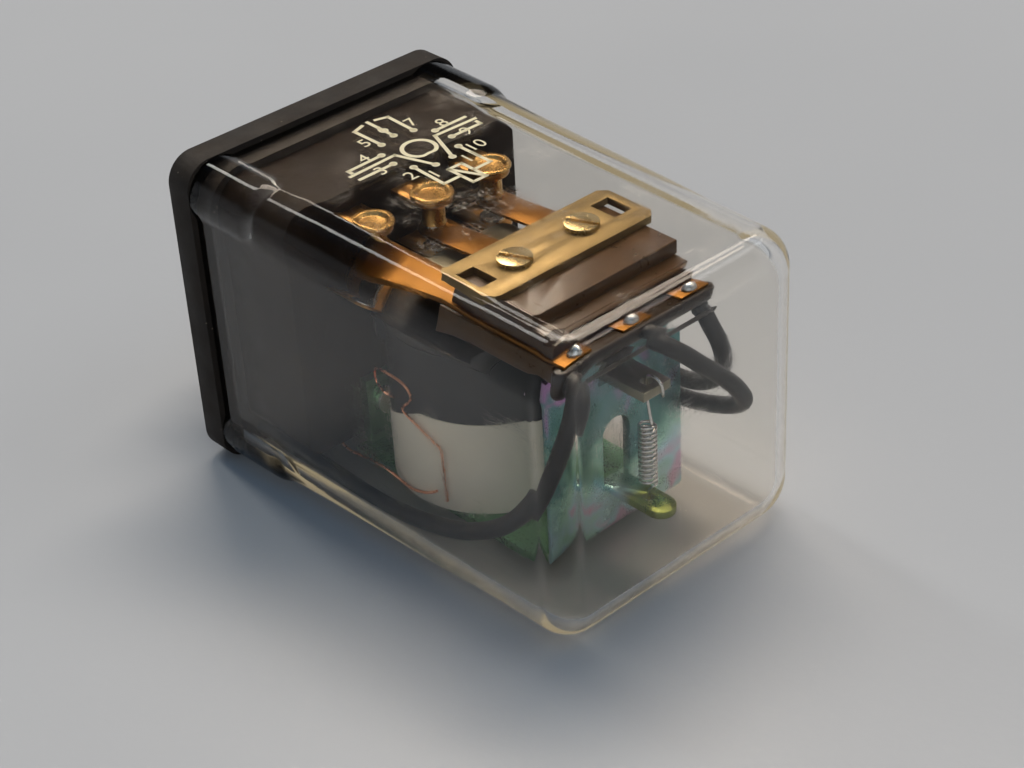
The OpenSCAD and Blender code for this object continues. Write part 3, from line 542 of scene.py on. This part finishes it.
def make_chromate():
    made, tree, shader, _ = new_material("chromate_film_and_shade", Metallic=1.0, Roughness=0.28)
    where = add_node(tree, "SeparateXYZ", {0: mm_space(tree)})
    drift = noise(tree, 0.18, 2.0, Distortion=0.6)
    climb = remap(tree, where.outputs["Z"], FILM_FOOT, FILM_HEAD, -0.25, 0.56)
    # The ramp gives the film's hue together with painted shade at mid height and painted light below
    # it.
    plate = ramp(tree, calc(tree, "ADD", drift, climb), FILM_HUE_AND_SHADE_STOPS)
    behind = remap(tree, where.outputs["X"], LEGS_FROM, LEGS_TO)
    legs = blend_colors(tree, behind, plate, LEG_GREEN)
    beyond = remap(tree, where.outputs["X"], TAB_FROM, TAB_TO)
    film = blend_colors(tree, beyond, legs, TAB_YELLOW)
    fine = place(tree, grain, Size=0.2, Low=0.22, High=0.40)
    marks = place(tree, scratches, Amount=0.6, Fineness=1.0)
    tree.links.new(blend_colors(tree, marks["Mask"], film, BARE_ZINC), shader.inputs["Base Color"])
    tree.links.new(fine["Roughness"], shader.inputs["Roughness"])
    add_bump(tree, shader, marks["Height"], MARK_DEPTH)
    return made


print("film:", make_chromate().name)

# %% [markdown]
# The insulating plates are resin-bonded laminate: brown, glossy and a little clear at the edges,
# where they glow amber. A coat gives the gloss, and some transmission lets the light in.

# %% Brown laminate
def laminate(name, deep, glow, transmission):
    _, tree, shader, _ = new_material(name, Transmission_Weight=transmission, IOR=1.5,
                                      Coat_Weight=0.12, Coat_Roughness=0.12,
                                      Specular_IOR_Level=0.3)
    fine = place(tree, grain, Size=0.5, Low=0.25, High=0.42)
    tree.links.new(blend_colors(tree, fine["Shade"], deep, glow), shader.inputs["Base Color"])
    tree.links.new(fine["Roughness"], shader.inputs["Roughness"])
    add_bump(tree, shader, fine["Height"], 0.006)
    print("laminate:", name)


laminate("brown_laminate", (0.036, 0.017, 0.005), (0.090, 0.041, 0.011), 0.05)
laminate("amber_bar", (0.008, 0.005, 0.003), (0.030, 0.015, 0.006), 0.06)

# %% [markdown]
# Paper is matt, and yellows unevenly where glue and heat have worked through it. Its fibres are a
# noise that is stretched along the sheet.

# %% Aged paper
def make_paper():
    made, tree, shader, _ = new_material("aged_paper", Roughness=0.7)
    fibres = noise(tree, 4.0, 5.0, mm_space(tree, (0.4, 1.5, 1.5)))
    clean = blend_colors(tree, noise(tree, 0.12, 4.0), (0.84, 0.80, 0.68), (0.70, 0.62, 0.47))
    tone = blend_colors(tree, fibres, clean, (0.76, 0.71, 0.60))
    tree.links.new(tone, shader.inputs["Base Color"])
    add_bump(tree, shader, fibres, 0.01)
    return made


print("paper:", make_paper().name)

# %% [markdown]
# The cover is clear styrene: one Principled shader that lets everything through, with fine
# scratches that are rougher than the skin. A path tracer needs help with it in two places. It
# seldom finds a lamp through two bent surfaces, so rays that go to a lamp meet a Transparent shader
# instead, darker where the wall is seen at a slant. And it drops a ray that has been mirrored too
# often inside a thick corner, which would leave the edges black, so a surface that such a ray
# meets has a faint, tan glow of its own.

# %% Clear styrene
HEAD_ON, SLANTED = (0.95, 0.93, 0.89), (0.30, 0.30, 0.31)
OFTEN_MIRRORED = 2.5
EDGE_GLOW = (0.11, 0.09, 0.055)


def make_clear():
    made, tree, shader, finish = new_material("clear_styrene", Base_Color=(0.985, 0.965, 0.93, 1),
                                              Transmission_Weight=1.0, IOR=1.45, Roughness=0.01,
                                              Specular_Tint=(0.35, 0.35, 0.36, 1),
                                              Emission_Strength=1.0)
    marks = place(tree, scratches, Amount=0.9, Fineness=0.8)
    tree.links.new(remap(tree, marks["Mask"], 0.0, 1.0, 0.012, 0.25), shader.inputs["Roughness"])
    add_bump(tree, shader, marks["Height"], 0.003, 0.6)
    path = add_node(tree, "LightPath")
    lost = calc(tree, "GREATER_THAN", path.outputs["Glossy Depth"], OFTEN_MIRRORED)
    tree.links.new(blend_colors(tree, lost, (0, 0, 0), EDGE_GLOW), shader.inputs["Emission Color"])
    slope = add_node(tree, "LayerWeight")
    shade = blend_colors(tree, slope.outputs["Facing"], HEAD_ON, SLANTED)
    clear = add_node(tree, "BsdfTransparent", {"Color": shade})
    mix = add_node(tree, "MixShader", {0: path.outputs["Is Shadow Ray"], 1: shader.outputs["BSDF"],
                                       2: clear.outputs["BSDF"]})
    tree.links.new(mix.outputs[0], finish.inputs["Surface"])
    return made


print("glass:", make_clear().name)

# %% [markdown]
# The diagram's ink is cream and matt, and has gone brown where dust sticks to it.

# %% Cream ink
def make_ink():
    made, tree, shader, _ = new_material("cream_ink", Roughness=0.45)
    wear = place(tree, dust, Specks=0.3, Bloom=0.4)
    tree.links.new(blend_colors(tree, wear["Mask"], (0.86, 0.78, 0.52), (0.55, 0.48, 0.32)),
                   shader.inputs["Base Color"])
    return made


print("ink:", make_ink().name, "- finishes so far:", len(finishes))

# %% [markdown]
# ## The cover
# A moulded box has two skins. The outer one leans in towards the closed end, has raised shoulders
# at the four corners of its mouth, and its long corners grow rounder as they go. The inner one has
# rounder corners still, above all the upper two, which leaves each long corner thick, and the thick
# plastic bends what is seen through it. Each skin is a loft of rounded squares. A shoulder is an
# arc that is larger than the corner it sits on.

# %% Rings of the two skins
WALL = 1.2
MOUTH_R, LAST_R, INNER_R, UPPER_R, END_R = 3.2, 4.4, 3.6, 4.5, 3.4
MOUTH_HALF = (plate_hi.y - plate_lo.y) / 2 - 0.65
DRAFT = 0.7
SHOULDER_R = MOUTH_R + 0.6
SHOULDER_END = cover_lo.x + 11.3 - SHOULDER_R
ARC_STEPS = 10


def outer_half(x):
    return MOUTH_HALF - DRAFT * (x - cover_lo.x) / (cover_hi.x - cover_lo.x)


def inner_half(x):
    return outer_half(x) - WALL


def outer_r(x):
    return MOUTH_R + (LAST_R - MOUTH_R) * (x - cover_lo.x) / (cover_hi.x - cover_lo.x)


def square_ring(x, half, corner_r, arc_r=None, upper_r=None):
    """A square across the plug's axis with an arc at each corner, which may stand proud. The two
    upper corners may have a radius of their own."""
    ring = []
    for quarter, (cy, cz) in enumerate(((1, 1), (-1, 1), (-1, -1), (1, -1))):
        corner = upper_r if upper_r and cz > 0 else corner_r
        arc = max(arc_r or corner, corner)
        spare = math.acos(min(corner / arc, 1))
        centre = half - corner
        for k in range(ARC_STEPS + 1):
            angle = (quarter * math.pi / 2 - spare) + k / ARC_STEPS * (math.pi / 2 + 2 * spare)
            ring.append((x, cy * centre + arc * math.cos(angle),
                         cz * centre + arc * math.sin(angle)))
    return ring


print("a ring at the mouth is", round(2 * outer_half(cover_lo.x), 2), "mm wide")

# %% [markdown]
# The closed end is rounded all round. Over its last stretch the corners first grow to the end's
# own radius, so that they close as parts of a sphere, and then each ring shrinks along an arc.

# %% Rings of the closed end
GROW_LEN = 8
GROW_STEPS = 6
END_STEPS = 8
LEAST_R = 0.15


def closed_end(x_end, half_at, corner_r, end_r, upper_r=None):
    last_r = max(end_r, corner_r)
    upper_r = upper_r or last_r
    rings = []
    for k in range(1, GROW_STEPS + 1):
        x = x_end - end_r - GROW_LEN * (1 - k / GROW_STEPS)
        grown = corner_r + (last_r - corner_r) * k / GROW_STEPS
        rings.append(square_ring(x, half_at(x), grown, upper_r=upper_r))
    for k in range(1, END_STEPS + 1):
        angle = k / END_STEPS * math.pi / 2
        inset = end_r * (1 - math.cos(angle))
        x = x_end - end_r * (1 - math.sin(angle))
        rings.append(square_ring(x, half_at(x) - inset, max(last_r - inset, LEAST_R),
                                 upper_r=max(upper_r - inset, LEAST_R)))
    return rings


print("closed end:", len(closed_end(cover_hi.x, outer_half, LAST_R, END_R)), "rings")

# %% [markdown]
# The two skins join at the mouth, where a belt of faces closes the wall. Weighted normals keep the
# flat sides flat, and so free of bent reflections, beside their rounded corners.

# %% Build the cover from its outer and inner skins
LIP = 0.15
SMOOTH_ANGLE = math.radians(40)
OUTER_AT = (20, 26, 32, 38)
INNER_AT = (15, 26, 34)


def make_cover():
    outer = []
    for x in (cover_lo.x, cover_lo.x + LIP, SHOULDER_END - 4, SHOULDER_END):
        outer.append(square_ring(x, outer_half(x), MOUTH_R, SHOULDER_R))
    reach = math.sqrt(SHOULDER_R ** 2 - MOUTH_R ** 2)
    for k in range(1, GROW_STEPS + 1):
        x = SHOULDER_END + reach * k / GROW_STEPS
        shoulder = math.sqrt(SHOULDER_R ** 2 - (x - SHOULDER_END) ** 2)
        outer.append(square_ring(x, outer_half(x), MOUTH_R, shoulder))
    outer += [square_ring(x, outer_half(x), outer_r(x)) for x in OUTER_AT]
    outer += closed_end(cover_hi.x, outer_half, LAST_R, END_R)
    inner = [square_ring(x, inner_half(x), INNER_R) for x in (cover_lo.x, SHOULDER_END)]
    inner += [square_ring(x, inner_half(x), INNER_R, upper_r=UPPER_R) for x in INNER_AT]
    inner += closed_end(cover_hi.x - WALL, inner_half, INNER_R, END_R - WALL, UPPER_R)
    verts, faces = loft(outer, start_cap=False)
    more, inside = loft(inner, start_cap=False, shift=len(verts))
    faces += inside + belt(0, len(verts), len(outer[0]))
    cover = add_piece("clear_cover", verts + more, faces)
    cover.modifiers.new("even_shading", "WEIGHTED_NORMAL").keep_sharp = True
    cover.data.set_sharp_from_angle(angle=SMOOTH_ANGLE)
    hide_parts("cover")
    return dress(cover, "clear_styrene")


print("cover:", len(make_cover().data.polygons), "faces")

# %% [markdown]
# ## The printed diagram
# The plug's circuit is printed on the cover in cream ink: a keyed ring in a circle of eleven pads,
# three changeover contacts and the coil. It is drawn here as ribbons a fiftieth of a millimetre
# thick, which follow the slope of the cover.

# %% Ribbons that lie on the cover
LINE_W = 0.40
INK_T = 0.02
INK_LIFT = 0.004


def on_cover(x, y, lift):
    return (x, y, outer_half(x) + INK_LIFT + lift)


def ribbon(points):
    """A flat bar along each stretch of a line of points on the cover."""
    verts, faces = [], []
    for a, b in zip(points, points[1:]):
        a, b = Vector(a), Vector(b)
        along = (b - a).normalized() * LINE_W / 2
        across = Vector((-along.y, along.x))
        corners = [a - along + across, a - along - across, b + along - across, b + along + across]
        first = len(verts)
        verts += [on_cover(c.x, c.y, lift) for lift in (0, INK_T) for c in corners]
        faces += belt(first, first + 4, 4)
        faces += [tuple(range(first, first + 4)), tuple(range(first + 4, first + 8))]
    return verts, faces


def disc(x, y, r, hole=0.0, sides=24, shape=None):
    """A printed disc, or a ring where it has a hole. A shape scales the radius by its angle."""
    verts, faces = [], []
    for k in range(sides):
        a = 2 * math.pi * k / sides
        grow = shape(a) if shape else 1
        for radius in ((r * grow, hole * grow) if hole else (r * grow,)):
            for lift in (0, INK_T):
                verts.append(on_cover(x + radius * math.cos(a), y + radius * math.sin(a), lift))
    step = len(verts) // sides
    for k in range(sides):
        a, b = k * step, (k + 1) % sides * step
        faces.append((a, b, b + 1, a + 1))
        if hole:
            faces += [(a + 2, a + 3, b + 3, b + 2), (a + 1, b + 1, b + 3, a + 3),
                      (a, a + 2, b + 2, b)]
    if not hole:
        faces += [tuple(range(0, sides * 2, 2)), tuple(range(1, sides * 2, 2))]
    return verts, faces


print("a straight ribbon has", len(ribbon([(0, 0), (1, 0)])[1]), "faces")

# %% [markdown]
# The pads stand on a circle as the pins do, and lines lead from them to the contacts and the coil.
# The ring in the middle is dented where the plug's key is.

# %% Draw the pads, contacts and coil
PRINT_MID = (16.0, 1.6)
PAD_CIRCLE = 3.9
PAD_R = 0.42
RING_R, RING_HOLE = 1.95, 1.5
KEY_DENT, KEY_SPREAD = 0.16, 22
PADS = range(1, 12)


def pad_angle(number):
    """Pins are counted round the circle, with the key between the first and the last."""
    return math.radians(-360 / len(PADS) * (number - 0.5))


def pad(number):
    angle = pad_angle(number)
    return PRINT_MID[0] + PAD_CIRCLE * math.cos(angle), PRINT_MID[1] + PAD_CIRCLE * math.sin(angle)


def keyed(angle):
    turned = math.degrees(math.atan2(math.sin(angle), math.cos(angle)))
    return 1 - KEY_DENT * math.exp(-(turned / KEY_SPREAD) ** 2)


LINES = [
    [pad(1), (15.3, -1.0), (15.5, -6.8)], [pad(3), (16.6, -6.5)], [pad(4), (14.5, -6.3)],
    [pad(5), (8.6, -0.6), (8.2, 0.7)], [pad(6), (8.0, 1.6)], [pad(7), (8.6, 3.8), (8.2, 2.5)],
    [pad(11), (15.2, 4.4), (15.4, 9.6)], [pad(8), (14.4, 9.1)], [pad(9), (16.6, 9.3)],
    [pad(2), (23.2, -1.5), (23.2, 0.7)], [pad(10), (23.2, 4.6), (23.2, 2.4)],
    [(21.4, 0.7), (25.0, 0.7), (25.0, 2.4), (21.4, 2.4), (21.4, 0.7), (25.0, 2.4)],
    [(14.5, -6.3), (15.0, -6.3)], [(16.6, 9.3), (16.0, 9.3)],
]


def make_print():
    parts = [ribbon(line) for line in LINES] + [disc(*pad(number), PAD_R) for number in PADS]
    parts.append(disc(*PRINT_MID, RING_R, hole=RING_HOLE, sides=48, shape=keyed))
    verts, faces = [], []
    for points, sides in parts:
        faces += [tuple(i + len(verts) for i in face) for face in sides]
        verts += points
    diagram = add_piece("printed_diagram", verts, faces, smooth=False)
    return dress(diagram, "cream_ink")


print("diagram:", len(make_print().data.polygons), "faces")

# %% [markdown]
# Plain numbers stand beside the pads. Blender's own text object gives their outlines, which are
# turned into a mesh, laid on the slope of the cover and joined into one piece.

# %% Number the pads
NUMBER_SIZE = 2.3
NUMBER_CIRCLE = PAD_CIRCLE + 1.75
NUMBER_SHIFTS = {1: 0.16, 11: -0.16}


def number_text(number):
    """One number as a text object, flat on the cover and read from the closed end."""
    curve = bpy.data.curves.new(f"number_{number}", "FONT")
    curve.body = str(number)
    curve.size = NUMBER_SIZE * MM
    curve.align_x, curve.align_y = "CENTER", "CENTER"
    curve.extrude = INK_T / 2 * MM
    curve.resolution_u = 3
    text = bpy.data.objects.new(f"number_{number}", curve)
    bpy.context.scene.collection.objects.link(text)
    angle = pad_angle(number) - NUMBER_SHIFTS.get(number, 0.0)
    x = PRINT_MID[0] + NUMBER_CIRCLE * math.cos(angle)
    y = PRINT_MID[1] + NUMBER_CIRCLE * math.sin(angle)
    lean = math.atan(DRAFT / (cover_hi.x - cover_lo.x))
    text.matrix_world = (Matrix.Translation(at(*on_cover(x, y, INK_T / 2)))
                         @ Matrix.Rotation(lean, 4, "Y") @ Matrix.Rotation(math.pi / 2, 4, "Z"))
    return text


def make_numbers():
    texts = [number_text(number) for number in PADS]
    bpy.context.view_layer.update()
    shapes = bmesh.new()
    for text in texts:
        mesh = bpy.data.meshes.new_from_object(text)
        mesh.transform(text.matrix_world)
        shapes.from_mesh(mesh)
        bpy.data.meshes.remove(mesh)
        bpy.data.objects.remove(text)
    bmesh.ops.remove_doubles(shapes, verts=shapes.verts, dist=1e-7)
    mesh = bpy.data.meshes.new("pad_numbers")
    shapes.to_mesh(mesh)
    shapes.free()
    numbers = bpy.data.objects.new("pad_numbers", mesh)
    bpy.context.scene.collection.objects.link(numbers)
    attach(numbers, "root")
    return dress(numbers, "cream_ink")


print("numbers:", len(make_numbers().data.polygons), "faces")

# %% [markdown]
# ## Leads, spring and wires
# The three leads are soft sleeves over stranded wire. They leave the tail bar, bend down past the
# yoke and run back beside the coil to the block. Their routes are those of the solids, with more
# sides and rings, so that they look round up close. Lengths are counted from the bar's front face,
# and the routes are stretched as the solids' are, to keep their room to the cover and the block.

# %% The routes of the leads
LEAD_R = 0.9
LEAD_Z = (bar_lo.z + bar_hi.z) / 2
LEAD_Y = 9.2
REST_STEP = 5.0
BLOCK_ROOM = 7
FAR_ROUTE = [(-0.6, 9.4, 6.4), (0.2, 9.8, 4.6), (0.1, 10.5, 2.4), (-0.8, 11.1, 0.1),
             (-2.4, 11.5, -1.9), (-4.8, 11.7, -3.2), (-7.8, 11.7, -3.7)]
MIDDLE_ROUTE = [(1.2, 1.6, 8.4), (1.9, 3.2, 7), (2.3, 5, 5.2), (2.6, 7, 3.3), (3, 9, 1.1),
                (2.7, 10.6, -1.2), (1.2, 11.6, -3.1), (-1.2, 12.1, -4.6), (-4, 12.1, -5.6),
                (-7, 11.9, -6.1)]
NEAR_ROUTE = [(0.9, -9.4, 8.9), (1.9, -10.2, 8), (2.3, -11.4, 6.3), (2.1, -12.5, 4),
              (1.3, -13.2, 1.2), (-0.2, -13.5, -2), (-2.4, -13.6, -5), (-5.6, -13.6, -7.9),
              (-10.2, -13.6, -10.6), (-15.4, -13.5, -12.4), (-20.6, -13.5, -13.4),
              (-25.4, -13.4, -13.9)]
WIDE = (-near_lead_lo.y - LEAD_R) / max(-y for _, y, _ in NEAR_ROUTE)
RUN = (bar_hi.x - block_hi.x - BLOCK_ROOM) / max(-x for x, _, _ in NEAR_ROUTE)
print("routes stretched by", round(WIDE, 3), "across and", round(RUN, 3), "along")

# %% [markdown]
# Each lead starts square to the bar and ends straight in the block. Two leave the bar's front face
# and one its underside.

# %% Sweep the leads
TUCK = 0.99


def make_lead(name, node, leave, route, end, stop, sideways=(0, 0, 1)):
    """A lead leaves the bar by two points, follows the route and then goes straight back."""
    bent = [(bar_hi.x + x * (RUN if x < 0 else 1), y * WIDE, z * WIDE) for x, y, z in route]
    back, x = [], bent[-1][0] - REST_STEP
    while x > stop + 4 * LEAD_R:
        back.append((x, end[0] * WIDE, end[1] * WIDE))
        x -= REST_STEP
    back += [(x, end[0] * WIDE, end[1] * WIDE) for x in (stop + 2 * LEAD_R, stop)]
    skin = loft(tube(spline(leave + bent + back, 6), LEAD_R * TUCK, sideways=sideways))
    lead = add_piece(name, *skin)
    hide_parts(node)
    print(name, len(lead.data.polygons), "faces")
    return dress(lead, "lead_sleeve")


def from_front(y):
    return [(bar_hi.x, y, LEAD_Z), (bar_hi.x + LEAD_R / 2, y, LEAD_Z)]


bar_mid = (bar_lo.x + bar_hi.x) / 2
from_below = [(bar_mid, LEAD_Y, bar_lo.z), (bar_mid, LEAD_Y, bar_lo.z - LEAD_R / 2)]
make_lead("far_lead", "lead_far", from_below, FAR_ROUTE, (11.7, -3.8), block_hi.x, (0, 1, 0))
make_lead("middle_lead", "lead_middle", from_front(0.8), MIDDLE_ROUTE, (11.8, -6.2), block_hi.x)
make_lead("near_lead", "lead_near", from_front(-LEAD_Y), NEAR_ROUTE, (-13.2, -14), block_lo.x)

# %% [markdown]
# The return spring is one wire. It hooks under the yoke's tab, winds up a close coil and hooks
# over the armature's tongue. Its upper end moves with the armature, but the piece rides on no body:
# its place is baked into its points.

# %% Wind the return spring
SPRING_X = bar_lo.x + 2.2
WIRE_R = 0.16
COIL_R = 0.79
TURNS = 13
TURN_STEPS = 12
TAB_TOP = coil_lo.z + 5.1
TAB_FOOT = TAB_TOP - 0.8
TONGUE = (armature_lo.z, armature_lo.z + 1)
LOW_HOOK, HIGH_HOOK = 1.5, 2.1
COIL_LOW, COIL_HIGH = TAB_TOP + 1.7, TONGUE[0] - 3.8


def spring_path():
    pitch = (COIL_HIGH - COIL_LOW) / TURNS
    foot = [(1, -0.23), (0.73, -0.5), (0.33, -0.5), (0, -0.2)]
    head = [(0, 0.14), (0.19, 0.36), (0.62, 0.38), (0.95, 0.14)]
    bottom = [(x * LOW_HOOK, TAB_FOOT + z * LOW_HOOK) for x, z in foot]
    bottom += [(0, TAB_TOP), (0.1, TAB_TOP + 0.53 * LOW_HOOK),
               (COIL_R * 0.7, COIL_LOW - pitch * 0.6)]
    crown = [(COIL_R * 0.7, COIL_HIGH + pitch * 0.6), (0.1, TONGUE[0] - 0.62 * HIGH_HOOK),
             (0, TONGUE[0])]
    crown += [(x * HIGH_HOOK, TONGUE[1] + z * HIGH_HOOK) for x, z in head]
    crown.append((HIGH_HOOK, TONGUE[0] + 0.1 * HIGH_HOOK))
    coil = [(SPRING_X + COIL_R * math.cos(a), COIL_R * math.sin(a),
             COIL_LOW + pitch * a / (2 * math.pi))
            for a in (2 * math.pi * k / TURN_STEPS for k in range(TURNS * TURN_STEPS + 1))]
    start, end = ([(SPRING_X + x, 0, z) for x, z in hook] for hook in (bottom, crown))
    return start + coil + end


def make_spring():
    skin = loft(tube(spline(spring_path(), 2), WIRE_R, 10))
    spring = add_piece("return_spring_wire", *skin, body=None)
    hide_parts("return_spring")
    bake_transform(spring)
    return dress(spring, "spring_steel")


print("spring:", len(make_spring().data.polygons), "faces")

# %% [markdown]
# ## The paper label
# The label wraps the near half of the upright coil. Its upper edge was cut on a slant towards the
# contact block, so the black tape shows above it in a wedge. It is two curved sheets, the paper's
# back and its face, joined along their rim.

# %% Wrap the label round the coil
COLUMNS, ROWS = 64, 14
LABEL_FROM, LABEL_TURN = 170, 176
LABEL_BACK, LABEL_FACE = 0.01, 0.14
TRIM_TOP, TRIM_FOOT = 0.1, 0.08


def make_label():
    middle = (coil_lo.x + coil_hi.x) / 2
    radius = (coil_hi.x - coil_lo.x) / 2
    slant_x = middle + 1
    verts = []
    for lift in (LABEL_BACK, LABEL_FACE):
        for i in range(COLUMNS + 1):
            angle = math.radians(LABEL_FROM + LABEL_TURN * i / COLUMNS)
            x, y = middle + (radius + lift) * math.cos(angle), (radius + lift) * math.sin(angle)
            upper = label_hi.z - TRIM_TOP - max(slant_x - x, 0) / 2
            lower = label_lo.z + TRIM_FOOT
            verts += [(x, y, lower + (upper - lower) * k / ROWS) for k in range(ROWS + 1)]
    width = ROWS + 1
    size = width * (COLUMNS + 1)
    faces = []
    for i in range(COLUMNS):
        for k in range(ROWS):
            a = i * width + k
            faces.append((a, a + 1, a + width + 1, a + width))
            faces.append((size + a, size + a + width, size + a + width + 1, size + a + 1))
    rim = (list(range(width)) + [i * width + ROWS for i in range(1, COLUMNS + 1)]
           + [COLUMNS * width + k for k in range(ROWS - 1, -1, -1)]
           + [i * width for i in range(COLUMNS - 1, 0, -1)])
    faces += [(a, b, size + b, size + a) for a, b in zip(rim, rim[1:] + rim[:1])]
    label = add_piece("paper_label", verts, faces)
    label.data.set_sharp_from_angle(angle=SMOOTH_ANGLE)
    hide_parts("coil_label")
    return dress(label, "aged_paper")


print("label:", len(make_label().data.polygons), "faces")

# %% [markdown]
# ## Dress the solids
# Every solid that shows now gets its finish. A stamping or a moulding also gets a rounded copy, and
# a round solid, which has hardly an edge, keeps its own mesh.

# %% Round and finish each solid
FINISHES = {
    "base_plate": ("aged_phenolic", 0.35), "base_pins": ("pin_metal", 0),
    "contact_block": ("black_moulding", 0.3), "yoke": ("chromate_film_and_shade", 0.12),
    "yoke_screws": ("pin_metal", 0.08), "core": ("soft_iron", 0.1),
    "bobbin": ("bobbin_black", 0.12), "winding": ("coil_copper", 0),
    "coil_tape": ("coil_tape_black", 0),
    "coil_tags": ("coil_tape_black", 0.05), "coil_wire_upper": ("coil_copper", 0),
    "coil_wire_lower": ("coil_copper", 0), "lower_strip_near": ("strip_brass", 0.06),
    "lower_strip_middle": ("strip_brass", 0.06), "lower_strip_far": ("strip_brass", 0.06),
    "lower_contacts": ("contact_silver", 0.06), "upper_strip_near": ("strip_brass", 0.06),
    "upper_strip_middle": ("strip_brass", 0.06), "upper_strip_far": ("strip_brass", 0.06),
    "upper_contacts": ("rivet_copper", 0.05), "armature": ("yellow_zinc", 0.12),
    "residual_disc": ("rivet_copper", 0), "lower_insulator": ("brown_laminate", 0.1),
    "blade_near": ("blade_bronze", 0.04), "blade_middle": ("blade_bronze", 0.04),
    "blade_far": ("blade_bronze", 0.04), "moving_contacts": ("contact_silver", 0.06),
    "blade_spacer": ("brown_laminate", 0.1), "upper_insulator": ("brown_laminate", 0.12),
    "clamp_plate": ("clamp_brass", 0.1), "clamp_screws": ("screw_brass", 0.08),
    "tail_bar": ("amber_bar", 0.35), "solder_joints": ("solder", 0.05),
}
for node, (finish, width) in FINISHES.items():
    if width:
        dress(soften(node, width), finish)
    else:
        dress(node, finish)
print("finished", len(FINISHES), "solids")

# %% [markdown]
# ## The desk and the light
# The relay lies on the rim of its shoulders and on the closed end, a slope of about two degrees
# in the relay's own frame, so the desk is tilted to meet it. The desk is pale, slightly blue and
# half glossy, with waves that are too shallow to see but soften what it mirrors.

# %% Lay the desk
FLOOR_HALF = 3.0
front = Vector((SHOULDER_END, -(MOUTH_HALF - MOUTH_R + SHOULDER_R)))
rear = Vector((cover_hi.x - END_R, -outer_half(cover_hi.x - END_R)))
slope = (rear.y - front.y) / (rear.x - front.x)
floor_z = front.y - slope * front.x


def make_floor():
    corners = [(-FLOOR_HALF, -FLOOR_HALF), (FLOOR_HALF, -FLOOR_HALF), (FLOOR_HALF, FLOOR_HALF),
               (-FLOOR_HALF, FLOOR_HALF)]
    mesh = bpy.data.meshes.new("desk")
    mesh.from_pydata([(x, y, floor_z * MM + slope * x) for x, y in corners], [], [(0, 1, 2, 3)])
    desk = bpy.data.objects.new("desk", mesh)
    bpy.context.scene.collection.objects.link(desk)
    made, tree, shader, _ = new_material("desk_laminate", Roughness=0.35)
    tone = blend_colors(tree, noise(tree, 0.012, 3.0), (0.425, 0.443, 0.466), (0.475, 0.492, 0.512))
    tree.links.new(tone, shader.inputs["Base Color"])
    add_bump(tree, shader, noise(tree, 0.9, 3.0), 0.05, 0.35)
    mesh.materials.append(made)
    return desk


make_floor()
print("desk slopes", round(math.degrees(math.atan(slope)), 2), "degrees")

# %% [markdown]
# Lamps as long and soft as an office's hang overhead, one of them warm, and a cool one stands in
# front. They and the world stay at a plain level, so that a colour renders about as it is written.

# %% Hang the lamps
LAMP_AIM = (0.025, 0, 0)
LAMPS = {
    # name: place, size, power, tint
    "overhead": ((-0.26, 0.42, 0.85), (0.7, 0.3), 7.4, (1.0, 0.87, 0.73)),
    "window": ((-0.72, 0.06, 0.75), (0.12, 0.6), 2.2, (1.0, 0.97, 0.90)),
    "strip": ((0.45, 0.5, 0.7), (0.7, 0.08), 0.8, (1.0, 1.0, 1.0)),
    "front": ((0.75, -0.85, 0.45), (0.9, 0.6), 1.4, (0.75, 0.86, 1.0)),
}
for name, (place_at, size, power, tint) in LAMPS.items():
    data = bpy.data.lights.new(name, "AREA")
    data.shape = "RECTANGLE"
    data.size, data.size_y = size
    data.energy = power
    data.color = tint
    lamp = bpy.data.objects.new(name, data)
    bpy.context.scene.collection.objects.link(lamp)
    lamp.location = place_at
    lamp.rotation_euler = (Vector(LAMP_AIM) - Vector(place_at)).to_track_quat("-Z", "Y").to_euler()
print("lamps:", {name: values[2] for name, values in LAMPS.items()}, "W")

# %% [markdown]
# The world is the room. It is pale at the horizon, so that a low view has a pale background. Above
# that is a dark band, as of shelves, which the cover's upper face mirrors towards the camera, and
# overhead it is blue, which fills the shadows.

# %% Set the world
SKY_STRENGTH = 0.50
HORIZON, SHELVES, HIGH, ZENITH = ((0.86, 0.90, 0.95), (0.06, 0.06, 0.065), (0.20, 0.38, 0.60),
                                  (0.33, 0.64, 1.00))
world = bpy.data.worlds.new("room")
bpy.context.scene.world = world
world.use_nodes = True
sky = world.node_tree.nodes["Background"]
sky.inputs["Strength"].default_value = SKY_STRENGTH
look = add_node(world.node_tree, "TexCoord")
height = add_node(world.node_tree, "SeparateXYZ", {0: look.outputs["Generated"]})
room = ramp(world.node_tree, height.outputs["Z"], [
    (0.28, HORIZON), (0.40, SHELVES), (0.66, SHELVES), (0.82, HIGH), (1.0, ZENITH)])
world.node_tree.links.new(room, sky.inputs["Color"])
bpy.context.scene.view_settings.view_transform = "Standard"
print("world strength", SKY_STRENGTH)

# %% [markdown]
# ## The end

# %% Finish
print("boxes written")
